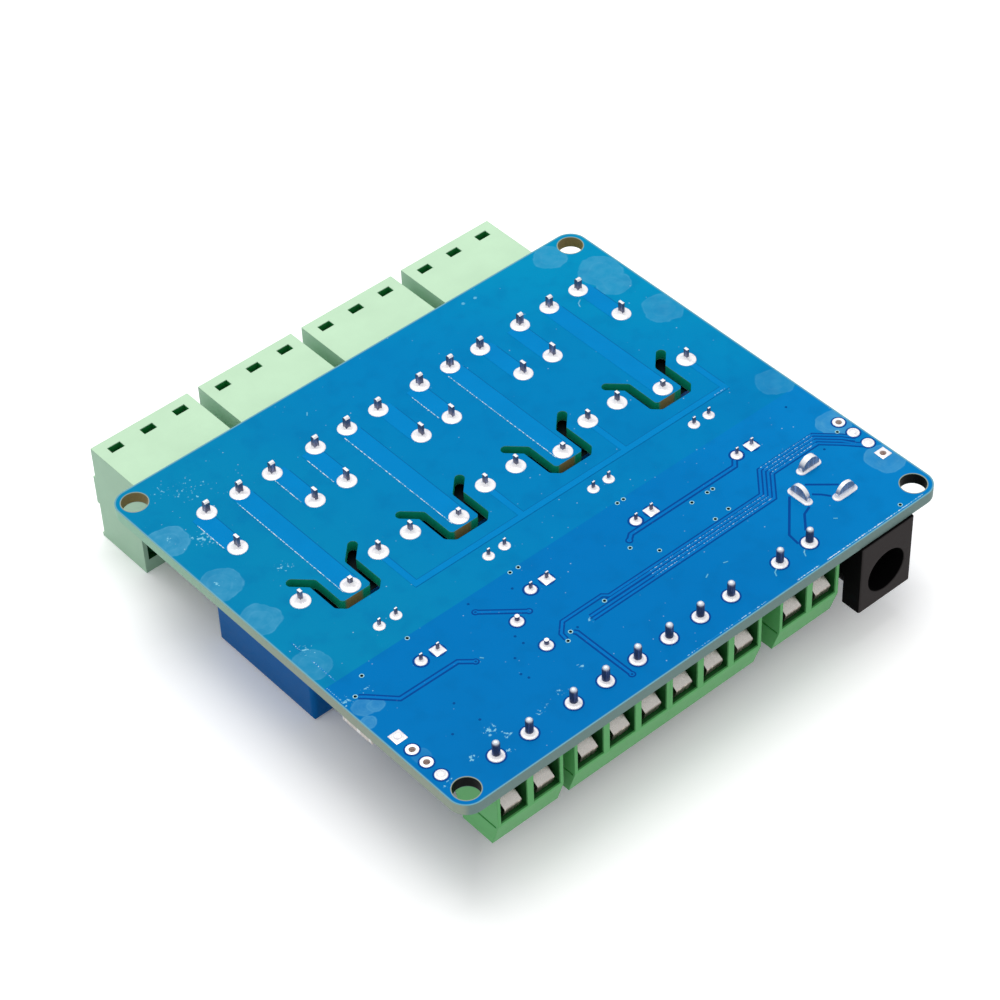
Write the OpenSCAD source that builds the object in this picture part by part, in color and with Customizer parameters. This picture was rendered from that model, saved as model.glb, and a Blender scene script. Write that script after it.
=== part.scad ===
// Relay module board: four sealed relays with pluggable three-way connectors on one
// long edge, and screw terminals and a DC power jack on the other.
//
// The board lies with its solder side up, as it rests on its relays and plugs.
// Origin: centre of the four mounting holes, on the solder-side face of the board.
// +X runs along the terminal edge towards the jack, +Y towards the plugs, +Z away
// from the solder side, so every component hangs at negative Z.

/* [Board] */
// Length of the board along X
board_w = 77; // [76.5:0.5:90]
// Depth of the board along Y
board_d = 67.5; // [67:0.5:75]
// Thickness of the board
board_t = 1.6; // [1:0.1:2.4]
// Radius of the board's corners
corner_r = 2.5; // [1:0.25:3.5]
// Diameter of the mounting holes
mount_d = 3.4; // [2.5:0.1:3.8]
// Distance from the board's edges to the centre of a mounting hole
mount_inset = 2.5; // [2.4:0.1:3]
// Diameter of the plated via holes
via_d = 0.4; // [0.3:0.1:0.8]
// Width of the isolation slots round the common pads
slot_w = 1.3; // [0.6:0.1:1.5]

/* [Relays] */
// Distance between neighbouring relays, which the plugs share
channel_pitch = 17; // [16:0.5:18]
// Width of a relay case along X
relay_w = 15.4; // [14.6:0.1:15.8]
// Length of a relay case along Y
relay_d = 19.2; // [18.6:0.1:20]
// Height of a relay case, without its feet
relay_h = 16; // [12:0.1:16]
// Height of the feet that hold the case off the board
relay_seat = 0.3; // [0.1:0.1:0.6]
// Radius of the relay case's upright edges
relay_edge_r = 0.7; // [0.3:0.1:1.5]
// Distance from the relay's far end to the header's row of pins
relay_to_header = 3.2; // [3:0.1:4]
// How far the relay's pins stand out of the solder side
relay_pin_out = 2; // [1.4:0.1:3]

/* [Plug headers] */
// Pole pitch of headers and plugs
plug_pitch = 5.08; // [5:0.01:5.12]
// Distance from the header's row of pins to the board's far edge
header_inset = 10.04; // [9.6:0.02:11]
// Height of the header's shroud over the board
header_h = 8.2; // [8:0.1:9]
// Thickness of the shroud wall that lies on the board
header_floor = 0.7; // [0.5:0.1:1]
// Thickness of the shroud wall away from the board
header_roof = 0.9; // [0.7:0.1:1.2]
// Thickness of the header's back wall
header_back = 1.3; // [1:0.1:1.5]
// Side of a header's square pins
header_pin = 0.7; // [0.6:0.05:1.1]
// Height of the header's level pins over the board
header_pin_z = 4; // [3.6:0.1:4.4]
// How far the header's pins stand out of the solder side
header_pin_out = 2; // [1.6:0.1:3.4]

/* [Plugs] */
// Height of a plug, from its flat face to its screw face
plug_h = 15.6; // [14.4:0.1:15.6]
// Length of the plug's part that enters the header, up to the screw housing
plug_nose = 9.5; // [9:0.1:10]
// Length of the plug's screw housing
plug_housing = 9.1; // [8.8:0.1:10.5]
// How far the raised band round the wire entries stands out
plug_band = 0.45; // [0.2:0.05:0.8]
// Width of a wire entry
wire_w = 3.9; // [3.4:0.1:4.1]
// Height of a wire entry
wire_h = 4; // [3.4:0.1:4.4]
// Height of a wire entry's centre over the plug's flat face
wire_z = 7.4; // [7.2:0.1:7.8]
// Wall of the clamping cages
cage_wall = 0.6; // [0.4:0.05:0.8]
// Diameter of the plug's screw heads
plug_screw_d = 3.4; // [3:0.1:3.8]

/* [Screw terminals] */
// Pole pitch of the terminals
term_pitch = 5; // [4.9:0.02:5.08]
// Distance from the board's near edge to the terminals' row of pins
term_inset = 3.9; // [3.6:0.1:4.6]
// Distance from the board's left edge to the first terminal block
term_start = 5.63; // [5.4:0.05:6.5]
// Gap after the first terminal block
term_gap_a = 1.75; // [0.5:0.05:2]
// Gap before the last terminal block
term_gap_b = 3.07; // [0.5:0.05:3.2]
// Height of a terminal block
term_h = 10.3; // [9.8:0.1:11.5]
// Height at which the block's front and back start to slope
term_knee = 6.65; // [6.6:0.05:7.2]
// Distance from the row of pins to the block's front face
term_front = 2.8; // [2.7:0.05:3.2]
// Distance from the row of pins to the block's back face
term_back = 4.65; // [4.4:0.05:5.2]
// How far the front and the back slope inwards up to the top
term_slope = 1.15; // [0.6:0.05:1.3]
// Width of a terminal's window
window_w = 4.05; // [3.8:0.05:4.3]
// Height of a terminal's window
window_h = 4.75; // [4.7:0.05:5]
// Height of the window's lower edge over the board
window_z = 1.5; // [1.3:0.1:1.8]
// Width of the sprung leaf that the screw presses on the wire
leaf_w = 2.55; // [2:0.05:3.2]
// Diameter of a terminal's solder pins
term_pin_d = 1; // [0.9:0.05:1.2]
// How far the terminals' pins stand out of the solder side
term_pin_out = 2.5; // [2:0.1:3.6]
// Diameter of the terminal's screw heads
term_screw_d = 3.4; // [3:0.1:3.7]

/* [DC jack] */
// Width of the jack's front block
jack_w = 9; // [8.6:0.1:9.4]
// Height of the jack's front block
jack_h = 10.8; // [10.8:0.1:11.4]
// Depth of the jack's front block
jack_front_d = 3; // [2.4:0.1:3.4]
// Length of the jack's body
jack_len = 13.3; // [13:0.1:14]
// Distance from the board's right edge to the jack's centre line
jack_inset = 9.75; // [9.5:0.05:11]
// Least gap between the last terminal block and the jack
jack_gap = 1; // [0.5:0.1:2]
// How far the jack stands out past the board's edge
jack_out = 0.45; // [0:0.05:1]
// Radius of the jack's round barrel
barrel_r = 4.2; // [4:0.05:4.4]
// Height of the jack's bore over the board
bore_z = 6.2; // [6.1:0.05:6.3]
// Diameter of the jack's bore
bore_d = 6.3; // [5.8:0.1:6.6]
// Depth of the jack's bore
bore_depth = 9.5; // [9:0.1:10.5]
// Diameter of the jack's centre pin
centre_pin_d = 2; // [1.6:0.1:2.5]
// How far the jack's tabs stand out of the solder side
tab_out = 1.8; // [1.4:0.1:2.8]

/* [Small parts] */
// Distance from the relays to the row of optocouplers
opto_gap = 10.5; // [9.8:0.1:11]
// Height of an optocoupler's body over its seat
opto_h = 3.5; // [3:0.1:4]
// How far the optocouplers' leads stand out of the solder side
opto_lead_out = 1.2; // [0.8:0.1:2]
// Diameter of the capacitor's can
can_d = 10; // [8:0.5:10.5]
// Height of the capacitor's can
can_h = 12.5; // [9:0.5:14]
// Width of the regulator's metal tab
reg_tab_w = 5.6; // [5:0.1:6]
// Thickness of the regulator's metal tab
reg_tab_t = 0.6; // [0.4:0.05:0.8]

/* [Solder] */
// Diameter of the big round pads
pad_d = 2.6; // [2.2:0.1:2.8]
// Diameter of the optocouplers' pads
small_pad_d = 1.5; // [1.4:0.05:1.8]
// Diameter of the pads at the screw terminals
term_pad_d = 2.1; // [1.8:0.1:2.4]
// Diameter of the capacitor's pads
can_pad_d = 1.7; // [1.4:0.1:2.2]
// Width of the pads at the jack
tab_pad_w = 1.4; // [1.2:0.1:2]
// Height of the solder on the big pads
solder_h = 0.6; // [0.4:0.1:1.2]
// Clearance between pieces that fit into each other
fit = 0.1; // [0.05:0.05:0.2]

/* [Hidden] */
$fn = 48;
eps = 0.5; // how far a cutting shape runs past the face that it opens

board_blue = [0.02, 0.4, 0.68];
relay_blue = [0.1, 0.25, 0.5];
plug_green = [0.6, 0.84, 0.6];
terminal_green = [0.36, 0.66, 0.4];
black = [0.05, 0.05, 0.06];
charcoal = [0.12, 0.12, 0.13];
can_sleeve = [0.08, 0.1, 0.2];
tin = [0.8, 0.8, 0.8];
steel = [0.7, 0.7, 0.68];
solder = [0.9, 0.9, 0.9];

// Places on the board. Y runs from the terminal edge to the plug edge.
near_y = -board_d / 2;
far_y = board_d / 2;
left_x = -board_w / 2;
right_x = board_w / 2;
mount_spots = [for (sx = [-1, 1], sy = [-1, 1]) [sx * (right_x - mount_inset), sy * (far_y - mount_inset)]];

// Relays: a common pin and two coil pins at the near end, two contact pins at the far end
channels = [for (i = [0 : 3]) (i - 1.5) * channel_pitch];
header_y = far_y - header_inset;
relay_near_y = header_y - relay_to_header - relay_d;
common_dy = 0.85;
coil_row = 2;
contact_row = 14.2;
coil_dy = common_dy + coil_row;
contact_dy = common_dy + contact_row;
side_pin_dx = 6;
relay_pin_spots = [[0, common_dy], [-side_pin_dx, coil_dy], [side_pin_dx, coil_dy],
                   [-side_pin_dx, contact_dy], [side_pin_dx, contact_dy]];
relay_pin_size = [[0.5, 0.5], [0.4, 0.6], [0.4, 0.6], [0.4, 0.8], [0.4, 0.8]];
relay_pin_short = [0.6, 0.2, 0.2, 0, 0]; // how much less than the longest each pin stands out
relay_pin_root = 3; // length of a pin inside the case
relay_hole_d = norm(relay_pin_size[4]) + 2 * fit;
rim_wall = 0.5;
rim_depth = 0.4;
foot_d = 1.6;

// Isolation slot: a cup round the common pad with two arms that lean outwards
slot_dx = -0.25;
slot_half = 2.88;
slot_low = relay_near_y - 1.33;
slot_knee = relay_near_y + 4.1;
slot_arm = 1.85;
slot_corner = 0.7;

// Headers and plugs, in a frame whose Y starts at the header's row of pins
header_hole_d = norm([header_pin, header_pin]) + 2 * fit;
header_mouth = header_inset - 0.05;
header_rear = 1.2;
pin_chamfer = 0.2;
rib_dx = plug_pitch / 2;
rib_w = 1;
rib_h = 0.6;
cavity_y = header_rear + header_back;
pin_reach = header_mouth - 1.7;
plug_w = 3 * plug_pitch;
pole_dx = [for (k = [-1 : 1]) k * plug_pitch];
nose_y = cavity_y + 2 * fit;
nose_top = header_h - header_roof - fit;
housing_y = nose_y + plug_nose;
plug_end = housing_y + plug_housing;
plug_top = header_floor + plug_h;
wire_mid = header_floor + wire_z;
wire_low = wire_mid - wire_h / 2;
wire_high = wire_mid + wire_h / 2;
collar = 0.3;
chamber_y = housing_y + 1.6;
chamber_end = plug_end - 1.4;
chamber_half = 2.05;
chamber_low = header_pin_z - 1.1;
strip_t = 0.4;
strip_half = header_pin / 2 + strip_t;
strip_z = wire_high + strip_t / 2;
strip_y = chamber_y + strip_t / 2 + fit;
socket_half = strip_half + fit;
socket_y = nose_y + 1.4;
sleeve_end = header_mouth - 0.5;
sleeve_z = header_pin_z + header_pin / 2 + strip_t / 2;
cage_y = strip_y + strip_t / 2 + 3 * fit;
cage_end = chamber_end - 0.7;
cage_half = chamber_half - fit;
cage_low = wire_low - cage_wall;
cage_roof = strip_z + strip_t / 2 + 0.3;
cage_nut = 1.4;
cage_top = cage_roof + cage_nut;
chamber_top = cage_top + 0.4;
thread_r = 1.2;
plug_screw_y = (cage_y + cage_end) / 2;
plug_throat = chamber_top + 0.8;
plug_head_h = 1.8;
probe_slot = [1.95, 1.15];
probe_y = chamber_end - probe_slot[1];
pocket = [3.8, 0.9, 3];
pocket_z = plug_top - 5;
lip = [0.35, 0.6];
screw_slot = [0.7, 0.7];

// Screw terminals, in a frame whose Y starts at the row of pins
term_y = near_y + term_inset;
row_room = board_w - term_start - term_gap_a - term_gap_b - jack_gap - jack_w / 2 - jack_inset;
row_poles = floor(row_room / term_pitch);
end_poles = 2;
middle_poles = row_poles - 2 * end_poles;
term_poles = [end_poles, ceil(middle_poles / 2), floor(middle_poles / 2), end_poles];
block_a = left_x + term_start;
block_b = block_a + term_poles[0] * term_pitch + term_gap_a;
block_c = block_b + term_poles[1] * term_pitch;
block_d = block_c + term_poles[2] * term_pitch + term_gap_b;
block_x = [block_a, block_b, block_c, block_d];
window_top = window_z + window_h;
box_y = -1.4;
box_end = term_back - 1.45;
box_top = window_top + 2.3;
nut_top = box_top - fit;
frame_y = box_y + 2 * fit;
frame_end = box_end - 2 * fit;
frame_t = 0.65;
nut_t = 1.4;
frame_half = window_w / 2 - fit;
term_screw_y = (frame_y + frame_end - frame_t) / 2;
term_throat = box_top + 0.4;
term_head_h = 1.2;
leaf_t = 0.45;
leaf_z = window_z + 2.1;
leaf_path = [[2.1, leaf_z], [-0.8, leaf_z], [-2.4, leaf_z + 1.1], [-2.05, leaf_z + 2.2]];
seam = [0.2, 3.5, 0.3];
seam_y = 0.35 - term_front;
seam_z = term_knee + 0.1;

// Jack, in a frame whose Y starts at its front face
jack_x = right_x - jack_inset;
jack_y = near_y - jack_out;
spring_y = 7.5;
switch_y = 10.7;
switch_dx = jack_w / 2;
tab_w = 2.8;
spring_t = 0.5;
switch_t = 0.6;
plate_t = 0.8;
switch_top = 4.5;
rear_y = jack_len + plate_t / 2;
spring_z = bore_z - bore_d / 2 - spring_t / 2;
spring_rise = 0.5;
channel_y = jack_front_d + 0.2;
pin_tip_y = 2;
jack_tabs = [[jack_x, jack_y + rear_y, 0, plate_t], [jack_x, jack_y + spring_y, 0, spring_t],
             [jack_x - switch_dx, jack_y + switch_y, 90, switch_t]];

// Small parts
opto_y = relay_near_y - opto_gap;
opto_dx = -0.49;
opto_size = [4.6, 6.5];
opto_seat = 0.5;
opto_mid = opto_seat + opto_h / 2;
draft = 0.15;
lead_pitch = 2.54;
lead_row = 3.81;
lead_t = 0.25;
lead_w = 0.4;
can_inset = 23.6;
can_drop = 9.25;
can_x = left_x + can_inset;
can_y = opto_y - can_drop;
can_seat = 0.3;
can_pitch = 5.2;
can_lead_d = 0.6;
can_lead_out = 1;
bung_r = can_d / 2 - 0.6;
bung_h = 1.5;
bung_hold = 0.3;
groove_z = can_seat + 1.6;
reg_drop = 5.7;
reg_y = opto_y - reg_drop;
reg_body = [6.1, 6.5, 2.3];
reg_tab_out = 1.3;
reg_tab_in = 4.6;
reg_lead_dy = 2.28;
chip_drop = 9.3;
chip_x = [3, 18];
chip_sides = [8, 7]; // leads on each side
so_pitch = 1.27;
so_body = [3.9, 1.45];
transistor = [2.9, 1.3, 1];
transistor_at = [-5.5, -3.5];
diode = [2.7, 1.6, 1.2];
diode_at = [3.5, -3.3];
chip_part = [2, 1.25, 0.6];
resistor_at = [[5.5, -9], [5.5, -11.5], [-5.5, -8], [-5.5, -11.5]];
led_at = [5.5, -6.5];
power_led_inset = 8.5;
power_led_drop = 12;
power_led = [left_x + power_led_inset, opto_y - power_led_drop];
small_seat = 0.1;
solder_gap = 0.02;
spare_pitch = 2.54;
spare_hole_d = 1;
spare_inset = [1.33, 1.72]; // from the right and the left edge
spare_drop = [8.2, 11];
spare_right = [for (k = [0 : 3]) [right_x - spare_inset[0], opto_y - spare_drop[0] - k * spare_pitch]];
spare_left = [for (k = [0 : 3]) [left_x + spare_inset[1], opto_y - spare_drop[1] - k * spare_pitch]];
spare_filled = [spare_right[1], spare_right[2], spare_left[0], spare_left[3]];
via_spots = concat(
    [for (p = [[12.4, 0.1], [4.7, -0.9], [2.1, -2.9]]) [left_x + p[0], opto_y + p[1]]],
    [[right_x - 2.7, opto_y - 9.3], [right_x - 6.4, near_y + 1]],
    [for (p = [[-10.2, 0], [-8.9, 0], [7.2, 0], [8.2, 0], [3.1, -6.7], [5.4, -9.4], [13.9, -6.1],
               [-5.1, -11.1], [-11.4, -12.1], [-12.6, -13], [16.5, -6.1], [17.4, -6.1], [16.4, -9.9],
               [14, -10.1]])
        [p[0], opto_y + p[1]]]);

// Spots of the solder pins on the board
function relay_spots() = [for (c = channels, p = relay_pin_spots) [c + p[0], relay_near_y + p[1]]];
function header_spots() = [for (c = channels, dx = pole_dx) [c + dx, header_y]];
function block_poles(b) = [for (k = [0 : term_poles[b] - 1]) block_x[b] + (k + 0.5) * term_pitch];
function all_poles() = [for (b = [0 : 3], x = block_poles(b)) x];
function opto_spots() = [for (c = channels, sx = [-1, 1], sy = [-1, 1])
    [c + opto_dx + sx * lead_pitch / 2, opto_y + sy * lead_row]];
function can_spots() = [for (s = [-1, 1]) [can_x, can_y + s * can_pitch / 2]];

// Sends children, drawn upwards from the parts side, to their place under the board
module on_parts_side(x = 0, y = 0) {
    translate([x, y, -board_t]) mirror([0, 0, 1]) children();
}

// Extrudes a profile drawn in Y and Z, centred on X
module along_x(w) {
    rotate([90, 0, 90]) linear_extrude(w, center = true) children();
}

// Extrudes a profile drawn in X and Z, from Y = 0 to Y = l
module along_y(l) {
    translate([0, l, 0]) rotate([90, 0, 0]) linear_extrude(l) children();
}

// Flat rounded rectangle, centred
module rounded_rect(w, d, r) {
    square([w - 2 * r, d], center = true);
    square([w, d - 2 * r], center = true);
    for (sx = [-1, 1], sy = [-1, 1]) translate([sx * (w / 2 - r), sy * (d / 2 - r)]) circle(r);
}

// Flat slot with round ends, centred, its length along X
module stadium(len, w) {
    square([len - w, w], center = true);
    for (s = [-1, 1]) translate([s * (len - w) / 2, 0]) circle(d = w);
}

// Side view of a case that stands on Y = 0, with round upper corners
module arched(w, h, r) {
    translate([-w / 2, 0]) square([w, h - r]);
    translate([r - w / 2, 0]) square([w - 2 * r, h]);
    for (s = [-1, 1]) translate([s * (w / 2 - r), h - r]) circle(r);
}

// Flat bent strip along a path, with round bends and ends
module bent(path, t) {
    for (p = path) translate(p) circle(d = t);
    for (i = [1 : len(path) - 1]) {
        step = path[i] - path[i - 1];
        translate(path[i - 1]) rotate(atan2(step[1], step[0])) translate([0, -t / 2]) square([norm(step), t]);
    }
}

// Half section of a solder fillet, hollow-cheeked from the pad up to the pin
function cheek(r_pad, r_top, h) = concat([[0, 0], [r_pad, 0]],
    [for (k = [0 : 4]) let (u = k / 4) [r_top + (r_pad - r_top) * pow(1 - u, 1.7), 0.1 + (h - 0.1) * u]],
    [[0, h]]);

module fillet(r_pad, r_top, h) {
    rotate_extrude($fn = 32) polygon(cheek(r_pad, r_top, h));
}

// The same fillet drawn out along X for a flat tab
module long_fillet(len, r_pad, r_top, h) {
    for (s = [-1, 1]) translate([s * len / 2, 0, 0]) fillet(r_pad, r_top, h);
    along_x(len) {
        polygon(cheek(r_pad, r_top, h));
        mirror([1, 0]) polygon(cheek(r_pad, r_top, h));
    }
}

// Box between two corners
module block(a, b) {
    translate(a) cube(b - a);
}

// Profile of a moulded case, widest along the middle of its height
module flared(w, h) {
    polygon([[draft - w / 2, 0], [w / 2 - draft, 0], [w / 2, h / 2],
             [w / 2 - draft, h], [draft - w / 2, h], [-w / 2, h / 2]]);
}

// Moulded case of a small part, standing clear of the board
module moulded(w, d, h, seat) {
    translate([0, 0, seat]) intersection() {
        translate([0, -d / 2, 0]) along_y(d) flared(w, h);
        along_x(w) flared(d, h);
    }
}

// Lead that leaves a case at height mid and lies flat on the board, towards +Y
module gull(edge, mid, out, t, w) {
    along_x(w) bent([[edge - 0.3, mid], [edge + 0.3 * out, mid],
                     [edge + 0.5 * out, t / 2], [edge + out, t / 2]], t);
}

// Slotted screw, its tip at Z = 0 and its head above the shank
module screw(shank, head_d, head_h) {
    difference() {
        union() {
            cylinder(r = thread_r - fit / 2, h = shank + fit);
            translate([0, 0, shank]) cylinder(d = head_d, h = head_h);
        }
        translate([-head_d, -screw_slot[0] / 2, shank + head_h - screw_slot[1]])
            cube([2 * head_d, screw_slot[0], screw_slot[1] + eps]);
    }
}

// Bore for a screw: a throat for the shank and a wider seat for the head
module screw_bore(low, throat, high, head_d) {
    translate([0, 0, low - eps]) cylinder(r = thread_r + 2 * fit, h = throat - low + 2 * eps);
    translate([0, 0, throat]) cylinder(d = head_d + 2 * fit, h = high - throat + eps);
}

module board_hole(p, d) {
    translate([p[0], p[1], -board_t - eps]) cylinder(d = d, h = board_t + 2 * eps);
}

module isolation_slot() {
    side = [[slot_half - slot_corner, slot_low], [slot_half, slot_low + slot_corner], [slot_half, slot_knee],
            [slot_half + slot_arm, slot_knee + slot_arm]];
    other = [for (k = [3 : -1 : 0]) [-side[k][0], side[k][1]]];
    translate([slot_dx, 0, -board_t - eps]) linear_extrude(board_t + 2 * eps)
        bent(concat(other, side), slot_w);
}

module circuit_board() {
    color(board_blue)
    difference() {
        translate([0, 0, -board_t]) linear_extrude(board_t) rounded_rect(board_w, board_d, corner_r);
        for (p = mount_spots) board_hole(p, mount_d);
        for (p = relay_spots()) board_hole(p, relay_hole_d);
        for (p = header_spots()) board_hole(p, header_hole_d);
        for (x = all_poles()) board_hole([x, term_y], term_pin_d + 2 * fit);
        for (p = opto_spots()) board_hole(p, lead_w + 3 * fit);
        for (p = can_spots()) board_hole(p, can_lead_d + 2 * fit);
        for (p = concat(spare_right, spare_left)) board_hole(p, spare_hole_d);
        for (p = via_spots) board_hole(p, via_d);
        for (t = jack_tabs) translate([t[0], t[1], -board_t - eps]) rotate(t[2])
            linear_extrude(board_t + 2 * eps) stadium(tab_w + 6 * fit, t[3] + 3 * fit);
        for (x = channels) translate([x, 0, 0]) isolation_slot();
    }
}

// Pin of a relay, grown on all sides by a clearance
module relay_pin(k, gap = 0) {
    size = relay_pin_size[k] + [2 * gap, 2 * gap];
    low = relay_pin_short[k] - board_t - relay_pin_out;
    translate([relay_pin_spots[k][0] - size[0] / 2, relay_pin_spots[k][1] - size[1] / 2, low])
        cube([size[0], size[1], relay_seat + relay_pin_root - low]);
}

// Sealed relay: a box with a shallow rim round its base, on four feet
module relay_case(i) {
    on_parts_side(channels[i - 1], relay_near_y) color(relay_blue)
    difference() {
        union() {
            difference() {
                translate([0, relay_d / 2, relay_seat]) intersection() {
                    linear_extrude(relay_h) rounded_rect(relay_w, relay_d, relay_edge_r);
                    translate([0, -relay_d / 2, 0]) along_y(relay_d) arched(relay_w, relay_h, relay_edge_r);
                    along_x(relay_w) arched(relay_d, relay_h, relay_edge_r);
                }
                translate([0, relay_d / 2, relay_seat - eps]) linear_extrude(rim_depth + eps)
                    square([relay_w - 2 * rim_wall, relay_d - 2 * rim_wall], center = true);
            }
            for (sx = [-1, 1], y = [foot_d, relay_d - foot_d])
                translate([sx * (relay_w / 2 - foot_d), y, 0])
                    cylinder(d = foot_d, h = relay_seat + rim_depth);
        }
        for (k = [0 : 4]) relay_pin(k);
    }
}

module relay_pins(i) {
    on_parts_side(channels[i - 1], relay_near_y) color(tin) for (k = [0 : 4]) relay_pin(k);
}

// Square pin bent at a right angle, from the solder side to the mouth of its header
module header_pin_shape(gap = 0) {
    half = header_pin / 2 + gap;
    low = -board_t - header_pin_out;
    along_x(2 * half) {
        polygon([[-half, low + pin_chamfer], [pin_chamfer - half, low], [half - pin_chamfer, low],
                 [half, low + pin_chamfer], [half, header_pin_z - half],
                 [pin_reach - pin_chamfer, header_pin_z - half], [pin_reach, header_pin_z],
                 [pin_reach - pin_chamfer, header_pin_z + half], [-half, header_pin_z + half]]);
    }
}

// Header with open ends: floor, rear wall and roof, with ribs that key the plug
module plug_header(i) {
    on_parts_side(channels[i - 1], header_y) color(plug_green)
    difference() {
        union() {
            along_x(plug_w) polygon([[header_rear, 0], [header_mouth, 0], [header_mouth, header_floor],
                [cavity_y, header_floor], [cavity_y, header_h - header_roof],
                [header_mouth, header_h - header_roof], [header_mouth, header_h], [header_rear, header_h]]);
            for (s = [-1, 1]) translate([s * rib_dx, 0, 0])
                block([-rib_w / 2, header_rear, header_h - header_roof - rib_h],
                      [rib_w / 2, header_mouth, header_h]);
        }
        for (dx = pole_dx) translate([dx, 0, 0]) header_pin_shape();
    }
}

module header_pins(i) {
    on_parts_side(channels[i - 1], header_y) color(tin)
    for (dx = pole_dx) translate([dx, 0, 0]) header_pin_shape();
}

// Side view of a plug: a nose that enters the header and a taller housing for the clamps
module plug_profile() {
    polygon([[nose_y, header_floor], [plug_end, header_floor],
             [plug_end, wire_low - collar], [plug_end + plug_band, wire_low - collar],
             [plug_end + plug_band, wire_high + collar], [plug_end, wire_high + collar],
             [plug_end, plug_top - lip[1]], [plug_end + lip[0], plug_top - lip[1]],
             [plug_end + lip[0], plug_top], [housing_y, plug_top],
             [housing_y, nose_top], [nose_y, nose_top]]);
}

// Everything that one pole takes out of the plug
module plug_pole_cuts() {
    entry = header_pin / 2 + fit;
    block([-entry, nose_y - eps, header_pin_z - entry], [entry, socket_y + eps, header_pin_z + entry]);
    block([-socket_half, socket_y, header_pin_z - socket_half],
          [socket_half, chamber_y + eps, header_pin_z + socket_half]);
    block([-chamber_half, chamber_y, chamber_low], [chamber_half, chamber_end, chamber_top]);
    block([-wire_w / 2, chamber_end - eps, wire_low], [wire_w / 2, plug_end + plug_band + eps, wire_high]);
    translate([0, plug_screw_y, 0]) screw_bore(chamber_top, plug_throat, plug_top, plug_screw_d);
    block([-probe_slot[0] / 2, probe_y, header_floor - eps],
          [probe_slot[0] / 2, probe_y + probe_slot[1], chamber_low + eps]);
    block([-pocket[0] / 2, housing_y - eps, pocket_z],
          [pocket[0] / 2, housing_y + pocket[1], pocket_z + pocket[2]]);
}

module plug_body(i) {
    on_parts_side(channels[i - 1], header_y) color(plug_green)
    difference() {
        along_x(plug_w) plug_profile();
        for (dx = pole_dx) translate([dx, 0, 0]) plug_pole_cuts();
        for (s = [-1, 1]) translate([s * rib_dx, 0, 0])
            block([-rib_w / 2 - fit, nose_y - eps, header_h - header_roof - rib_h - fit],
                  [rib_w / 2 + fit, header_mouth + fit, nose_top + eps]);
    }
}

// Rising cage: a short square tube round the wire, with a threaded roof
module plug_cages(i) {
    on_parts_side(channels[i - 1], header_y) color(steel)
    for (dx = pole_dx) translate([dx, 0, 0]) difference() {
        block([-cage_half, cage_y, cage_low], [cage_half, cage_end, cage_top]);
        block([cage_wall - cage_half, cage_y - eps, wire_low],
              [cage_half - cage_wall, cage_end + eps, cage_roof]);
        translate([0, plug_screw_y, cage_roof - eps]) cylinder(r = thread_r, h = cage_nut + 2 * eps);
    }
}

// Contact: a sleeve on the header's pin and a bent strip that the screw bears on
module plug_contacts(i) {
    on_parts_side(channels[i - 1], header_y) color(tin)
    for (dx = pole_dx) translate([dx, 0, 0]) {
        difference() {
            block([-strip_half, socket_y + fit, header_pin_z - strip_half],
                  [strip_half, sleeve_end, header_pin_z + strip_half]);
            block([-header_pin / 2, socket_y, header_pin_z - header_pin / 2],
                  [header_pin / 2, sleeve_end + eps, header_pin_z + header_pin / 2]);
        }
        along_x(2 * strip_half) bent([[sleeve_end - strip_t, sleeve_z], [strip_y, sleeve_z],
                                      [strip_y, strip_z], [cage_end - fit, strip_z]], strip_t);
    }
}

module plug_screws() {
    tip = strip_z + strip_t / 2;
    color(steel)
    for (x = channels, dx = pole_dx) on_parts_side(x + dx, header_y + plug_screw_y)
        translate([0, 0, tip]) screw(plug_throat - tip, plug_screw_d, plug_head_h);
}

// Screw terminals with a window for each wire and a screw seat above it
module terminal_block(i) {
    w = term_poles[i - 1] * term_pitch;
    mid = block_x[i - 1] + w / 2;
    on_parts_side(mid, term_y) color(terminal_green)
    difference() {
        along_x(w) polygon([[-term_front, 0], [term_back, 0], [term_back, term_knee],
            [term_back - term_slope, term_h], [term_slope - term_front, term_h], [-term_front, term_knee]]);
        for (x = block_poles(i - 1)) translate([x - mid, 0, 0]) {
            block([-window_w / 2, -term_front - eps, window_z], [window_w / 2, box_y + eps, window_top]);
            block([-window_w / 2, box_y, window_z], [window_w / 2, box_end, box_top]);
            translate([0, 0, -eps]) cylinder(d = term_pin_d + 2 * fit, h = window_z + 2 * eps);
            translate([0, term_screw_y, 0]) screw_bore(box_top, term_throat, term_h, term_screw_d);
        }
        for (s = [-1, 1]) translate([s * w / 2 - seam[0], seam_y, seam_z])
            cube([2 * seam[0], seam[1], seam[2]]);
    }
}

// Clamp frame: a base on the pin, a rear wall and a threaded plate
module terminal_contacts(i) {
    for (x = block_poles(i - 1)) on_parts_side(x, term_y) color(tin) {
        difference() {
            union() {
                block([-frame_half, frame_y, window_z], [frame_half, frame_end, window_z + frame_t]);
                block([-frame_half, frame_end - frame_t, window_z], [frame_half, frame_end, nut_top]);
                block([-frame_half, frame_y, nut_top - nut_t], [frame_half, frame_end, nut_top]);
            }
            translate([0, term_screw_y, nut_top - nut_t - eps]) cylinder(r = thread_r, h = nut_t + 2 * eps);
        }
        term_pin();
    }
}

// Round pin with a domed end
module term_pin(gap = 0) {
    r = term_pin_d / 2 + gap;
    translate([0, 0, r - board_t - term_pin_out]) {
        cylinder(r = r, h = board_t + term_pin_out + window_z + frame_t / 2 - r);
        sphere(r);
    }
}

// Bent leaf between the screw and the wire, with a lip in the window
module terminal_leaves() {
    color(steel)
    for (x = all_poles()) on_parts_side(x, term_y) along_x(leaf_w) bent(leaf_path, leaf_t);
}

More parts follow.
